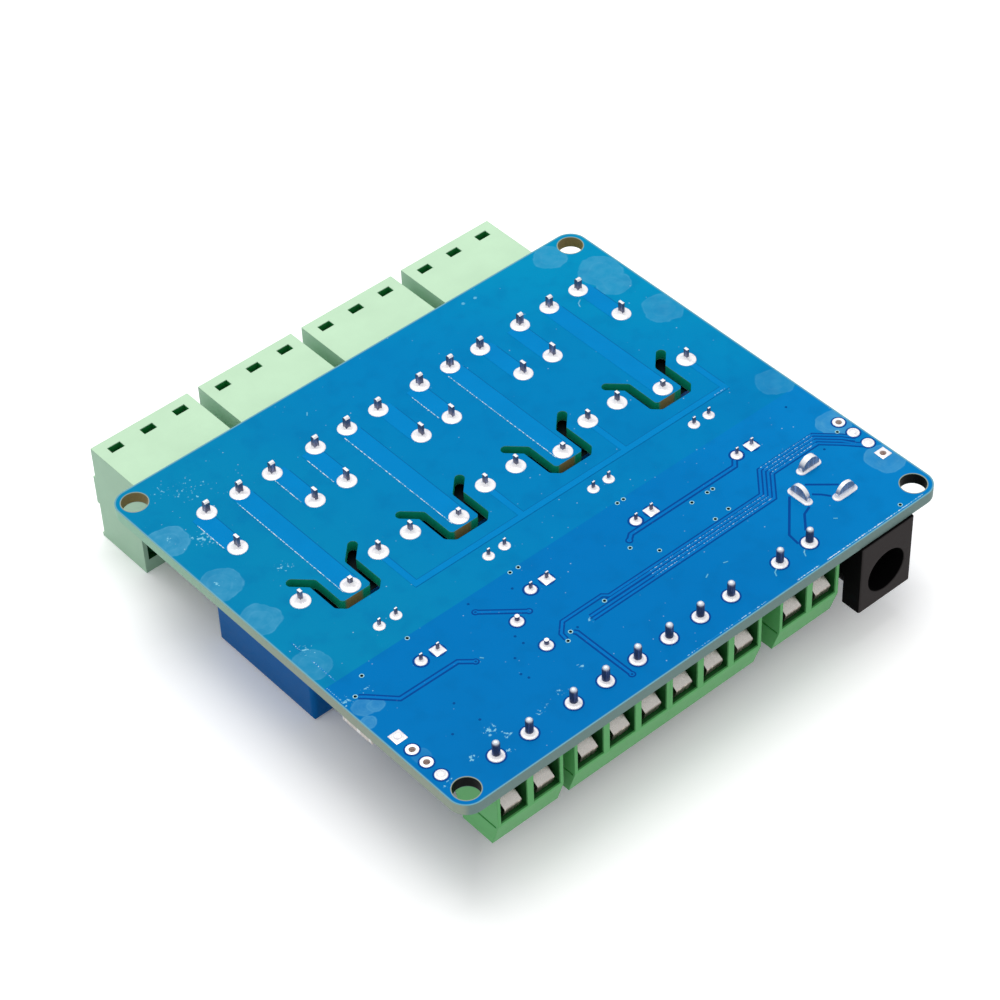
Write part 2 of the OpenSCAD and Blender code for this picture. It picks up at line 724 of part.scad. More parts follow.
module terminal_screws() {
    tip = leaf_z + leaf_t / 2;
    color(steel)
    for (x = all_poles()) on_parts_side(x, term_y + term_screw_y)
        translate([0, 0, tip]) screw(term_throat - tip, term_screw_d, term_head_h);
}

// Solder tab of the jack, its rounded end on the solder side
module blade(t, top, gap = 0) {
    low = -board_t - tab_out;
    w = tab_w + 2 * gap;
    translate([0, -t / 2 - gap, 0]) along_y(t + 2 * gap) {
        translate([0, low + tab_w / 2]) circle(d = w);
        translate([-w / 2, low + tab_w / 2]) square([w, top - low - tab_w / 2]);
    }
}

module bore_line(from, to, d) {
    translate([0, from, bore_z]) rotate([-90, 0, 0]) cylinder(d = d, h = to - from);
}

// Jack: a square face and a round barrel on a box, bored from the front
module jack_body() {
    on_parts_side(jack_x, jack_y) color(black)
    difference() {
        union() {
            translate([0, jack_front_d / 2, 0]) linear_extrude(jack_h)
                rounded_rect(jack_w, jack_front_d, 0.3);
            block([-jack_w / 2, jack_front_d / 2, 0], [jack_w / 2, jack_len, bore_z]);
            bore_line(jack_front_d / 2, jack_len, 2 * barrel_r);
        }
        bore_line(-eps, bore_depth, bore_d);
        bore_line(bore_depth - eps, jack_len + eps, centre_pin_d + fit);
        block([-tab_w / 2 - fit, channel_y, -eps],
              [tab_w / 2 + fit, spring_y + spring_t / 2 + fit, spring_z + spring_t + spring_rise]);
        block([-jack_w / 2 - eps, switch_y - tab_w / 2 - fit, -eps],
              [switch_t / 2 + fit - switch_dx, switch_y + tab_w / 2 + fit, switch_top + fit]);
    }
}

module jack_centre_pin() {
    r = centre_pin_d / 2;
    on_parts_side(jack_x, jack_y) color(tin) {
        bore_line(pin_tip_y + r, rear_y, centre_pin_d);
        translate([0, pin_tip_y + r, bore_z]) sphere(r);
        translate([0, rear_y, 0]) blade(plate_t, bore_z + tab_w / 2);
    }
}

// Spring under the bore and switch contact at the side
module jack_contacts() {
    on_parts_side(jack_x, jack_y) color(tin) {
        along_x(tab_w - fit)
            bent([[channel_y + spring_t, spring_z], [(channel_y + spring_y) / 2, spring_z + spring_rise],
                  [spring_y, spring_z]], spring_t);
        translate([0, spring_y, 0]) blade(spring_t, spring_z);
        translate([-switch_dx, switch_y, 0]) rotate(90) blade(switch_t, switch_top);
    }
}

module opto_lead(sx, sy, gap = 0) {
    translate([sx * lead_pitch / 2, 0, 0]) along_x(lead_w + 2 * gap)
        bent([[sy * (opto_size[1] / 2 - 0.8), opto_mid], [sy * lead_row, opto_mid],
              [sy * lead_row, -board_t - opto_lead_out]], lead_t + 2 * gap);
}

module optocoupler(i) {
    on_parts_side(channels[i - 1] + opto_dx, opto_y) color(charcoal)
    difference() {
        moulded(opto_size[0], opto_size[1], opto_h, opto_seat);
        for (sx = [-1, 1], sy = [-1, 1]) opto_lead(sx, sy);
        translate([lead_pitch / 2, -lead_pitch, opto_seat + opto_h - 0.2]) cylinder(d = 0.9, h = eps);
    }
}

module optocoupler_leads() {
    for (x = channels, sx = [-1, 1], sy = [-1, 1]) on_parts_side(x + opto_dx, opto_y)
        color(tin) opto_lead(sx, sy);
}

// Can with a crimped groove at its open end and a scored vent in its top
module capacitor_can() {
    r = can_d / 2;
    top = can_seat + can_h;
    on_parts_side(can_x, can_y) color(can_sleeve)
    difference() {
        rotate_extrude() polygon([[0, can_seat + bung_h], [bung_r, can_seat + bung_h], [bung_r, can_seat],
            [r - 0.3, can_seat], [r, can_seat + 0.3], [r, groove_z - 0.6], [r - 0.5, groove_z],
            [r, groove_z + 0.6], [r, top - 0.6], [r - 0.2, top - 0.2], [r - 0.6, top], [0, top]]);
        for (a = [0, 90]) rotate(a) translate([-r / 2, -0.15, top - 0.2]) cube([r, 0.3, eps]);
    }
}

module can_lead(gap = 0) {
    low = -board_t - can_lead_out;
    translate([0, 0, low]) cylinder(d = can_lead_d + 2 * gap, h = can_seat + bung_h - bung_hold - low);
}

module capacitor_bung() {
    on_parts_side(can_x, can_y) color(black)
    difference() {
        translate([0, 0, can_seat]) cylinder(r = bung_r - fit / 2, h = bung_h);
        for (s = [-1, 1]) translate([0, s * can_pitch / 2, 0]) can_lead(fit / 2);
    }
}

module capacitor_leads() {
    for (p = can_spots()) on_parts_side(p[0], p[1]) color(tin) can_lead();
}

// Tab that ends flush with the edge of the board, and the regulator's two leads
module reg_metal() {
    linear_extrude(reg_tab_t) polygon([[0, 0.9 - reg_tab_w / 2], [0.9, -reg_tab_w / 2],
        [reg_tab_out + reg_tab_in, -reg_tab_w / 2], [reg_tab_out + reg_tab_in, reg_tab_w / 2],
        [0.9, reg_tab_w / 2], [0, reg_tab_w / 2 - 0.9]]);
    for (s = [-1, 1]) translate([0, s * reg_lead_dy, 0]) rotate(-90)
        gull(reg_tab_out + reg_body[0], reg_body[2] / 2, 2.5, 0.5, 0.8);
}

module regulator_body() {
    on_parts_side(left_x, reg_y) color(charcoal)
    difference() {
        translate([reg_tab_out + reg_body[0] / 2, 0, 0]) moulded(reg_body[0], reg_body[1], reg_body[2], 0);
        reg_metal();
    }
}

module regulator_tab() {
    on_parts_side(left_x, reg_y) color(tin) reg_metal();
}

module chip_leads(n) {
    for (k = [0 : n - 1], a = [0, 180]) rotate(a) translate([(k - (n - 1) / 2) * so_pitch, 0, 0])
        gull(so_body[0] / 2, small_seat + so_body[1] / 2, 1.05, 0.2, 0.4);
}

module logic_chips() {
    for (k = [0, 1]) on_parts_side(chip_x[k], opto_y - chip_drop) color(charcoal)
    difference() {
        moulded(chip_sides[k] * so_pitch - 0.2, so_body[0], so_body[1], small_seat);
        chip_leads(chip_sides[k]);
    }
}

module transistor_leads() {
    mid = small_seat + transistor[2] / 2;
    for (dx = [-0.95, 0.95]) translate([dx, 0, 0]) gull(transistor[1] / 2, mid, 0.6, 0.15, 0.4);
    rotate(180) gull(transistor[1] / 2, mid, 0.6, 0.15, 0.4);
}

module drive_transistors() {
    for (x = channels) on_parts_side(x + transistor_at[0], relay_near_y + transistor_at[1]) color(charcoal)
    difference() {
        moulded(transistor[0], transistor[1], transistor[2], small_seat);
        transistor_leads();
    }
}

module diode_leads() {
    for (a = [90, -90]) rotate(a) gull(diode[0] / 2, small_seat + diode[2] / 2, 0.6, 0.15, 0.6);
}

module flyback_diodes() {
    for (x = channels) on_parts_side(x + diode_at[0], relay_near_y + diode_at[1]) color(charcoal)
    difference() {
        moulded(diode[0], diode[1], diode[2], small_seat);
        diode_leads();
    }
}

module small_part_leads() {
    color(tin) {
        for (k = [0, 1]) on_parts_side(chip_x[k], opto_y - chip_drop) chip_leads(chip_sides[k]);
        for (x = channels) {
            on_parts_side(x + transistor_at[0], relay_near_y + transistor_at[1]) transistor_leads();
            on_parts_side(x + diode_at[0], relay_near_y + diode_at[1]) diode_leads();
        }
    }
}

// Chip with a clear lens on its middle
module led() {
    translate([-chip_part[0] / 2, -chip_part[1] / 2, 0]) cube([chip_part[0], chip_part[1], chip_part[2] / 2]);
    translate([0, -chip_part[1] / 2, 0]) along_y(chip_part[1])
        polygon([[-0.7, 0], [0.7, 0], [0.6, chip_part[2] + 0.2], [-0.6, chip_part[2] + 0.2]]);
}

module indicator_leds() {
    color([0.9, 0.3, 0.2]) {
        for (x = channels) on_parts_side(x + led_at[0], relay_near_y + led_at[1]) led();
        on_parts_side(power_led[0], power_led[1]) led();
    }
}

module resistors() {
    for (x = channels, p = resistor_at) on_parts_side(x + p[0], relay_near_y + p[1]) color(charcoal)
        translate([-chip_part[0] / 2, -chip_part[1] / 2, 0]) cube(chip_part);
}

// Solder on every pin and tab, and in four of the spare holes
module solder_joints() {
    color(solder) {
        for (x = channels) difference() {
            for (p = relay_pin_spots) translate([x + p[0], relay_near_y + p[1], 0])
                fillet(pad_d / 2, relay_hole_d / 2, solder_h);
            on_parts_side(x, relay_near_y) for (k = [0 : 4]) relay_pin(k, solder_gap);
        }
        for (p = header_spots()) difference() {
            translate([p[0], p[1], 0]) fillet(pad_d / 2, header_hole_d / 2, solder_h);
            on_parts_side(p[0], p[1]) header_pin_shape(solder_gap);
        }
        for (x = all_poles()) difference() {
            translate([x, term_y, 0]) fillet(term_pad_d / 2, term_pin_d / 2 + fit, solder_h);
            on_parts_side(x, term_y) term_pin(solder_gap);
        }
        for (x = channels, sx = [-1, 1], sy = [-1, 1]) difference() {
            translate([x + opto_dx + sx * lead_pitch / 2, opto_y + sy * lead_row, 0])
                fillet(small_pad_d / 2, (lead_w + fit) / 2, solder_h);
            on_parts_side(x + opto_dx, opto_y) opto_lead(sx, sy, solder_gap);
        }
        for (p = can_spots()) difference() {
            translate([p[0], p[1], 0]) fillet(can_pad_d / 2, can_lead_d / 2 + fit, solder_h);
            on_parts_side(p[0], p[1]) can_lead(solder_gap);
        }
        for (t = jack_tabs) difference() {
            translate([t[0], t[1], 0]) rotate(t[2])
                long_fillet(tab_w - 0.35, tab_pad_w / 2, t[3] / 2 + fit, solder_h);
            on_parts_side(t[0], t[1]) rotate(t[2]) blade(t[3], 0, solder_gap);
        }
        for (p = spare_filled) translate([p[0], p[1], 0])
            fillet(small_pad_d / 2, spare_hole_d / 2 - fit, solder_h / 2);
    }
}

circuit_board();
solder_joints();
relay_case(1);  // relay_1
relay_case(2);  // relay_2
relay_case(3);  // relay_3
relay_case(4);  // relay_4
relay_pins(1);  // relay_pins_1
relay_pins(2);  // relay_pins_2
relay_pins(3);  // relay_pins_3
relay_pins(4);  // relay_pins_4
plug_header(1);  // plug_header_1
plug_header(2);  // plug_header_2
plug_header(3);  // plug_header_3
plug_header(4);  // plug_header_4
header_pins(1);  // header_pins_1
header_pins(2);  // header_pins_2
header_pins(3);  // header_pins_3
header_pins(4);  // header_pins_4
plug_body(1);  // plug_body_1
plug_body(2);  // plug_body_2
plug_body(3);  // plug_body_3
plug_body(4);  // plug_body_4
plug_cages(1);  // plug_cages_1
plug_cages(2);  // plug_cages_2
plug_cages(3);  // plug_cages_3
plug_cages(4);  // plug_cages_4
plug_contacts(1);  // plug_contacts_1
plug_contacts(2);  // plug_contacts_2
plug_contacts(3);  // plug_contacts_3
plug_contacts(4);  // plug_contacts_4
plug_screws();
terminal_block(1);  // terminal_block_1
terminal_block(2);  // terminal_block_2
terminal_block(3);  // terminal_block_3
terminal_block(4);  // terminal_block_4
terminal_contacts(1);  // terminal_contacts_1
terminal_contacts(2);  // terminal_contacts_2
terminal_contacts(3);  // terminal_contacts_3
terminal_contacts(4);  // terminal_contacts_4
terminal_leaves();
terminal_screws();
jack_body();
jack_centre_pin();
jack_contacts();
optocoupler(1);  // optocoupler_1
optocoupler(2);  // optocoupler_2
optocoupler(3);  // optocoupler_3
optocoupler(4);  // optocoupler_4
optocoupler_leads();
capacitor_can();
capacitor_bung();
capacitor_leads();
regulator_body();
regulator_tab();
logic_chips();
drive_transistors();
flyback_diodes();
indicator_leds();
resistors();
small_part_leads();
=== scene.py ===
"""Relay module board, lying solder side up: its finishes, fine detail, floor, light and camera."""

import logging
import math
from collections.abc import Callable, Iterable, Sequence
from dataclasses import dataclass
from enum import Enum

import bmesh
import bpy
from mathutils import Matrix, Vector


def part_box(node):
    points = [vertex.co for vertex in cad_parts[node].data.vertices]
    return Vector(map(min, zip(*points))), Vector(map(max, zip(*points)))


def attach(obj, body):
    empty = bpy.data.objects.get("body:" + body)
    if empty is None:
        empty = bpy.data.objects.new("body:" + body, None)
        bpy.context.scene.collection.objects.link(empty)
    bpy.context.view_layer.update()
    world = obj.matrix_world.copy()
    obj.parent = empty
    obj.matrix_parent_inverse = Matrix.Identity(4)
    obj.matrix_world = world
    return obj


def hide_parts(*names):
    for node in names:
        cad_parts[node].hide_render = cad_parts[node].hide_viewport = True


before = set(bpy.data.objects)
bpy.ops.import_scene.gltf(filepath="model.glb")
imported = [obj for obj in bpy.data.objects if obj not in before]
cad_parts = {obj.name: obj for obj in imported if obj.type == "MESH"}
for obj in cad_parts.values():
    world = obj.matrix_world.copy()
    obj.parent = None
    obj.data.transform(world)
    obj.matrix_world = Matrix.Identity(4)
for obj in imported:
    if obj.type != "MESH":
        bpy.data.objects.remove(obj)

log = logging.getLogger("relay_board")
MM = 0.001
"""One millimetre in metres. Pieces are modelled in millimetres and brought to metres when they are finished."""
MASK_GLOSS = 0.02
"""Specular level of the solder mask."""

Spot = tuple[float, float]
Point = tuple[float, float, float]
Line = tuple[Spot, ...]
Colour = tuple[float, float, float, float]
Shape = bpy.types.Object
Material = bpy.types.Material
Socket = bpy.types.NodeSocket
Value = Socket | float


# ---------------------------------------------------------------------------
# Colours and node trees
# ---------------------------------------------------------------------------


@dataclass(frozen=True)
class Tone:
    """A colour as display values from 0 to 255.

    Attributes:
        red: Red channel.
        green: Green channel.
        blue: Blue channel.
    """

    red: float
    green: float
    blue: float

    def linear(self, light: float = 1.0) -> Colour:
        """Converts the tone for a shader.

        Args:
            light: Factor on all three channels.

        Returns:
            The linear colour with full alpha.
        """
        parts = []
        for value in (self.red, self.green, self.blue):
            share = value / 255
            straight = share / 12.92 if share <= 0.04045 else ((share + 0.055) / 1.055) ** 2.4
            parts.append(min(1.0, straight * light))
        return (parts[0], parts[1], parts[2], 1.0)


Paint = Socket | Tone | Colour


class NodeDesk:
    """The node tree of one material, with short ways to add and join nodes."""

    def __init__(self, name: str, base: Tone, roughness: float, metallic: float = 0.0, gloss: float = 0.5) -> None:
        """Makes the material with a Principled shader.

        Args:
            name: Name of the material.
            base: Main colour.
            roughness: Roughness of the surface.
            metallic: 1 for bare metal.
            gloss: Specular level.
        """
        self.material = bpy.data.materials.new(name)
        self.material.use_nodes = True
        self.tree = self.material.node_tree
        self.shader = self.tree.nodes["Principled BSDF"]
        self.shader.inputs["Base Color"].default_value = base.linear()
        self.shader.inputs["Roughness"].default_value = roughness
        self.shader.inputs["Metallic"].default_value = metallic
        self.shader.inputs["Specular IOR Level"].default_value = gloss
        self._place: Socket | None = None

    def put(self, kind: str, settings: dict[str, object] | None = None, **inputs: object) -> bpy.types.Node:
        """Adds a node.

        Args:
            kind: Blender's name of the node type.
            settings: Attributes of the node.
            **inputs: Values or sockets by input name, with _ for a space, or by in0, in1 and so on.

        Returns:
            The new node.
        """
        node = self.tree.nodes.new(kind)
        for key, value in (settings or {}).items():
            setattr(node, key, value)
        for key, value in inputs.items():
            number = key[2:] if key.startswith("in") else ""
            target = node.inputs[int(number)] if number.isdigit() else node.inputs[key.replace("_", " ")]
            if isinstance(value, Socket):
                self.tree.links.new(value, target)
            else:
                target.default_value = value
        return node

    def place(self) -> Socket:
        """Reads the place on the piece, with one set of nodes for the whole material.

        Returns:
            The point, in millimetres of the board's frame.
        """
        if self._place is None:
            coords = self.put("ShaderNodeTexCoord").outputs["Object"]
            scaled = self.put("ShaderNodeVectorMath", {"operation": "SCALE"}, in0=coords, Scale=1 / MM)
            self._place = scaled.outputs["Vector"]
        return self._place

    def axis(self, letter: str) -> Socket:
        """Returns one coordinate of the point, in millimetres."""
        return self.put("ShaderNodeSeparateXYZ", in0=self.place()).outputs[letter]

    def facing(self, letter: str) -> Socket:
        """Returns one part of the surface's own direction, from -1 to 1."""
        geometry = self.put("ShaderNodeNewGeometry")
        return self.put("ShaderNodeSeparateXYZ", in0=geometry.outputs["Normal"]).outputs[letter]

    def vector(self, operation: str, first: Socket, second: Socket | Sequence[float] = (0, 0, 0)) -> Socket:
        """Adds a Vector Math node.

        Args:
            operation: Blender's name of the operation.
            first: First vector.
            second: Second vector, if the operation takes one.

        Returns:
            The number for LENGTH and DISTANCE, and the vector for the others.
        """
        node = self.put("ShaderNodeVectorMath", {"operation": operation}, in0=first, in1=second)
        return node.outputs["Value" if operation in ("LENGTH", "DISTANCE") else "Vector"]

    def noise(self, scale: float, detail: float = 2.0, stretch: Sequence[float] = (1, 1, 1)) -> Socket:
        """Adds a noise.

        Args:
            scale: Grains to the millimetre.
            detail: Octaves of the noise.
            stretch: Factors on the three axes.

        Returns:
            The noise, about 0.5 in the mean.
        """
        shaped = self.vector("MULTIPLY", self.place(), tuple(stretch))
        return self.put("ShaderNodeTexNoise", in0=shaped, Scale=scale, Detail=detail).outputs["Fac"]

    def specks(self, scale: float, size: float) -> Socket:
        """Adds sparse round specks.

        Args:
            scale: Cells to the millimetre.
            size: Radius of a speck as a share of a cell.

        Returns:
            1 in a speck and 0 outside.
        """
        cells = self.put("ShaderNodeTexVoronoi", in0=self.place(), Scale=scale)
        near = self.step(cells.outputs["Distance"], size, 0.0)
        chosen = self.put("ShaderNodeSeparateColor", in0=cells.outputs["Color"])
        return self.times(near, self.step(chosen.outputs["Red"], 0.82, 0.86))

    def number(self, operation: str, first: Value, second: Value = 0.0, clamp: bool = False) -> Socket:
        """Adds a Math node.

        Args:
            operation: Blender's name of the operation.
            first: First number.
            second: Second number, if the operation takes one.
            clamp: Whether the result is kept between 0 and 1.

        Returns:
            The result.
        """
        node = self.put("ShaderNodeMath", {"operation": operation, "use_clamp": clamp}, in0=first, in1=second)
        return node.outputs[0]

    def times(self, first: Value, second: Value, clamp: bool = False) -> Socket:
        """Returns the product of two numbers, kept between 0 and 1 if clamp is set."""
        return self.number("MULTIPLY", first, second, clamp)

    def plus(self, first: Value, second: Value) -> Socket:
        """Returns the sum of two numbers."""
        return self.number("ADD", first, second)

    def minus(self, first: Value, second: Value) -> Socket:
        """Returns the first number less the second."""
        return self.number("SUBTRACT", first, second)

    def larger(self, first: Value, second: Value) -> Socket:
        """Returns the larger of two numbers."""
        return self.number("MAXIMUM", first, second)

    def unsigned(self, value: Value) -> Socket:
        """Returns a number without its sign."""
        return self.number("ABSOLUTE", value)

    def apart(self, first: Value, second: Value) -> Socket:
        """Returns the distance between two numbers."""
        return self.unsigned(self.minus(first, second))

    def step(self, value: Value, low: float, high: float) -> Socket:
        """Turns a number into a share.

        Args:
            value: The number.
            low: Where the share is 0.
            high: Where the share is 1, which may lie below low.

        Returns:
            The share, smooth between the two.
        """
        smooth = {"interpolation_type": "SMOOTHSTEP"}
        return self.put("ShaderNodeMapRange", smooth, in0=value, in1=low, in2=high, in3=0.0, in4=1.0).outputs[0]

    def blend(self, share: Value, under: Paint, over: Paint) -> Socket:
        """Mixes two colours.

        Args:
            share: 0 for the first alone and 1 for the second alone.
            under: First colour.
            over: Second colour.

        Returns:
            The mixed colour.
        """
        node = self.put("ShaderNodeMix", {"data_type": "RGBA", "clamp_factor": True})
        for socket, value in ((node.inputs[0], share), (node.inputs[6], under), (node.inputs[7], over)):
            value = value.linear() if isinstance(value, Tone) else value
            if isinstance(value, Socket):
                self.tree.links.new(value, socket)
            else:
                socket.default_value = value
        return node.outputs[2]

    def shades(self, share: Value, tone: Tone, low: float, high: float) -> Socket:
        """Returns a colour that is low times the tone where share is 0, and high times the tone where it is 1."""
        return self.blend(share, tone.linear(low), tone.linear(high))

    def colour(self, socket: Socket) -> None:
        """Puts a colour on the shader."""
        self.tree.links.new(socket, self.shader.inputs["Base Color"])

    def rough(self, socket: Socket, low: float, high: float) -> None:
        """Lets the roughness follow a value from 0 to 1."""
        node = self.put("ShaderNodeMapRange", in0=socket, in3=low, in4=high)
        self.tree.links.new(node.outputs[0], self.shader.inputs["Roughness"])

    def relief(self, height: Socket, depth: float = 0.02, edge: float = 0.0) -> None:
        """Gives the surface its relief.

        Args:
            height: Value from 0 to 1.
            depth: Depth of the relief, in millimetres.
            edge: Radius that the edges seem to have, in millimetres.
        """
        bump = self.put("ShaderNodeBump", Height=height, Distance=depth * MM, Strength=1.0)
        if edge:
            rounded = self.put("ShaderNodeBevel", {"samples": 4}, Radius=edge * MM)
            self.tree.links.new(rounded.outputs[0], bump.inputs["Normal"])
        self.tree.links.new(bump.outputs[0], self.shader.inputs["Normal"])


# ---------------------------------------------------------------------------
# Finishes
# ---------------------------------------------------------------------------


@dataclass(frozen=True)
class Patch:
    """Row of equal boxes in which a moulding has another colour, such as painted shade inside its openings, a face
    painted lighter as painted light, and the white base of a lamp.

    Attributes:
        tone: Colour in the boxes.
        centres: Middles of the boxes along X, in millimetres.
        half: Half the width of a box.
        depth: Lowest and highest Y of the boxes.
        height: Lowest and highest Z of the boxes.
        soft: Width over which the colour changes.
    """

    tone: Tone
    centres: tuple[float, ...]
    half: float
    depth: Spot
    height: Spot
    soft: float = 0.06

    def share(self, desk: NodeDesk) -> Socket:
        """Finds the boxes.

        Args:
            desk: The material's node tree.

        Returns:
            1 in the boxes and 0 elsewhere.
        """
        across = desk.axis("X")
        nearest: Value = 99.0
        for centre in self.centres:
            nearest = desk.number("MINIMUM", nearest, desk.apart(across, centre))
        inside = desk.step(nearest, self.half + self.soft, self.half)
        for letter, (low, high) in (("Y", self.depth), ("Z", self.height)):
            place = desk.axis(letter)
            inside = desk.times(inside, desk.step(place, low - self.soft, low))
            inside = desk.times(inside, desk.step(place, high + self.soft, high))
        return inside


@dataclass(frozen=True)
class MouldedPlastic:
    """Moulded plastic with a fine grain, slight mottling and soft edges; its side colour and its patches can paint
    light and shade.

    Attributes:
        name: Name of the material.
        base: Main colour.
        roughness: Mean roughness.
        grain: Grains to the millimetre.
        depth: Depth of the grain, in millimetres.
        edge: Radius of the moulded edges, in millimetres.
        mottle: How far the colour wanders, as a share.
        gloss: Specular level.
        side: Colour of the faces that don't face up, if they differ; it paints light and shade on the sides.
        top: Colour of the faces that face up, if they differ.
        patches: Places with another colour, some of them painted shade and painted light.
    """

    name: str
    base: Tone
    roughness: float = 0.45
    grain: float = 9.0
    depth: float = 0.006
    edge: float = 0.15
    mottle: float = 0.08
    gloss: float = 0.2
    side: Tone | None = None
    top: Tone | None = None
    patches: tuple[Patch, ...] = ()

    def build(self) -> Material:
        """Builds the material.

        Returns:
            The material.
        """
        desk = NodeDesk(self.name, self.base, self.roughness, gloss=self.gloss)
        cloud = desk.noise(0.22, 3.0)
        low, high = 1 - self.mottle, 1 + self.mottle
        colour = desk.shades(cloud, self.base, low, high)
        up = desk.step(desk.facing("Z"), 0.5, 0.8)
        # Painted light and shade: the faces that don't face up take their own colour.
        if self.side:
            colour = desk.blend(up, desk.shades(cloud, self.side, low, high), colour)
        if self.top:
            colour = desk.blend(up, colour, self.top)
        # Patches paint shade into openings and light onto a face, besides a part's own second colour.
        for patch in self.patches:
            colour = desk.blend(patch.share(desk), colour, patch.tone)
        desk.colour(colour)
        desk.rough(desk.noise(1.4, 3.0), self.roughness - 0.06, self.roughness + 0.08)
        desk.relief(desk.noise(self.grain, 2.0), self.depth, self.edge)
        return desk.material


@dataclass(frozen=True)
class PlatedMetal:
    """Tin or zinc plate, painted bright on the ends that face up as a painted highlight and darker on its sides as
    painted shade and painted reflection, with painted highlight streaks.

    Attributes:
        name: Name of the material.
        base: Colour of the ends that face up, painted bright as a painted highlight.
        side: Colour of the upright sides, painted darker as painted shade and painted reflection; at twice its strength
            it gives the painted highlight streaks.
        roughness: Mean roughness.
        streak: Streaks to the millimetre along the piece.
        metallic: How far it mirrors what is round it.
    """

    name: str
    base: Tone
    side: Tone
    roughness: float = 0.3
    streak: float = 6.0
    metallic: float = 1.0

    def build(self) -> Material:
        """Builds the material.

        Returns:
            The material.
        """
        desk = NodeDesk(self.name, self.base, self.roughness, self.metallic)
        # Painted highlight on the ends that face up, and painted shade and reflection on the sides.
        up = desk.step(desk.unsigned(desk.facing("Z")), 0.25, 0.85)
        # Painted highlight streaks along the piece.
        glint_streaks = desk.step(desk.noise(2.4, 3.0, (1, 1, 0.1)), 0.5, 0.66)
        patchy = desk.shades(desk.noise(1.6, 4.0), self.side, 0.75, 1.1)
        patchy = desk.blend(glint_streaks, patchy, self.side.linear(2.0))
        desk.colour(desk.blend(up, patchy, self.base))
        brushed = desk.noise(self.streak, 3.0, (1, 1, 0.12))
        desk.rough(brushed, self.roughness - 0.08, self.roughness + 0.14)
        desk.relief(brushed, 0.008, 0.06)
        return desk.material


@dataclass(frozen=True)
class SolderMetal:
    """Bright solder with a frosted skin and a few dull patches.

    Attributes:
        name: Name of the material.
        base: Colour of the bright skin.
        dull: Colour of the dull patches.
        metallic: How far it mirrors what is round it.
    """

    name: str = "solder_skin"
    base: Tone = Tone(250, 248, 250)
    dull: Tone = Tone(224, 221, 228)
    metallic: float = 0.3

    def build(self) -> Material:
        """Builds the material.

        Returns:
            The material.
        """
        desk = NodeDesk(self.name, self.base, 0.34, self.metallic)
        patch = desk.step(desk.noise(1.3, 4.0), 0.52, 0.74)
        desk.colour(desk.blend(patch, self.base, self.dull))
        desk.rough(desk.noise(2.2, 4.0), 0.22, 0.46)
        desk.relief(desk.noise(2.6, 4.0), 0.04, 0.05)
        return desk.material


@dataclass(frozen=True)
class Stain:
    """A round dried mark of flux on the mask.

    Attributes:
        x: Centre along X, in millimetres.
        y: Centre along Y, in millimetres.
        radius: Mean radius, in millimetres.
        strength: How much it lightens the mask, from 0 to 1.
    """

    x: float
    y: float
    radius: float
    strength: float


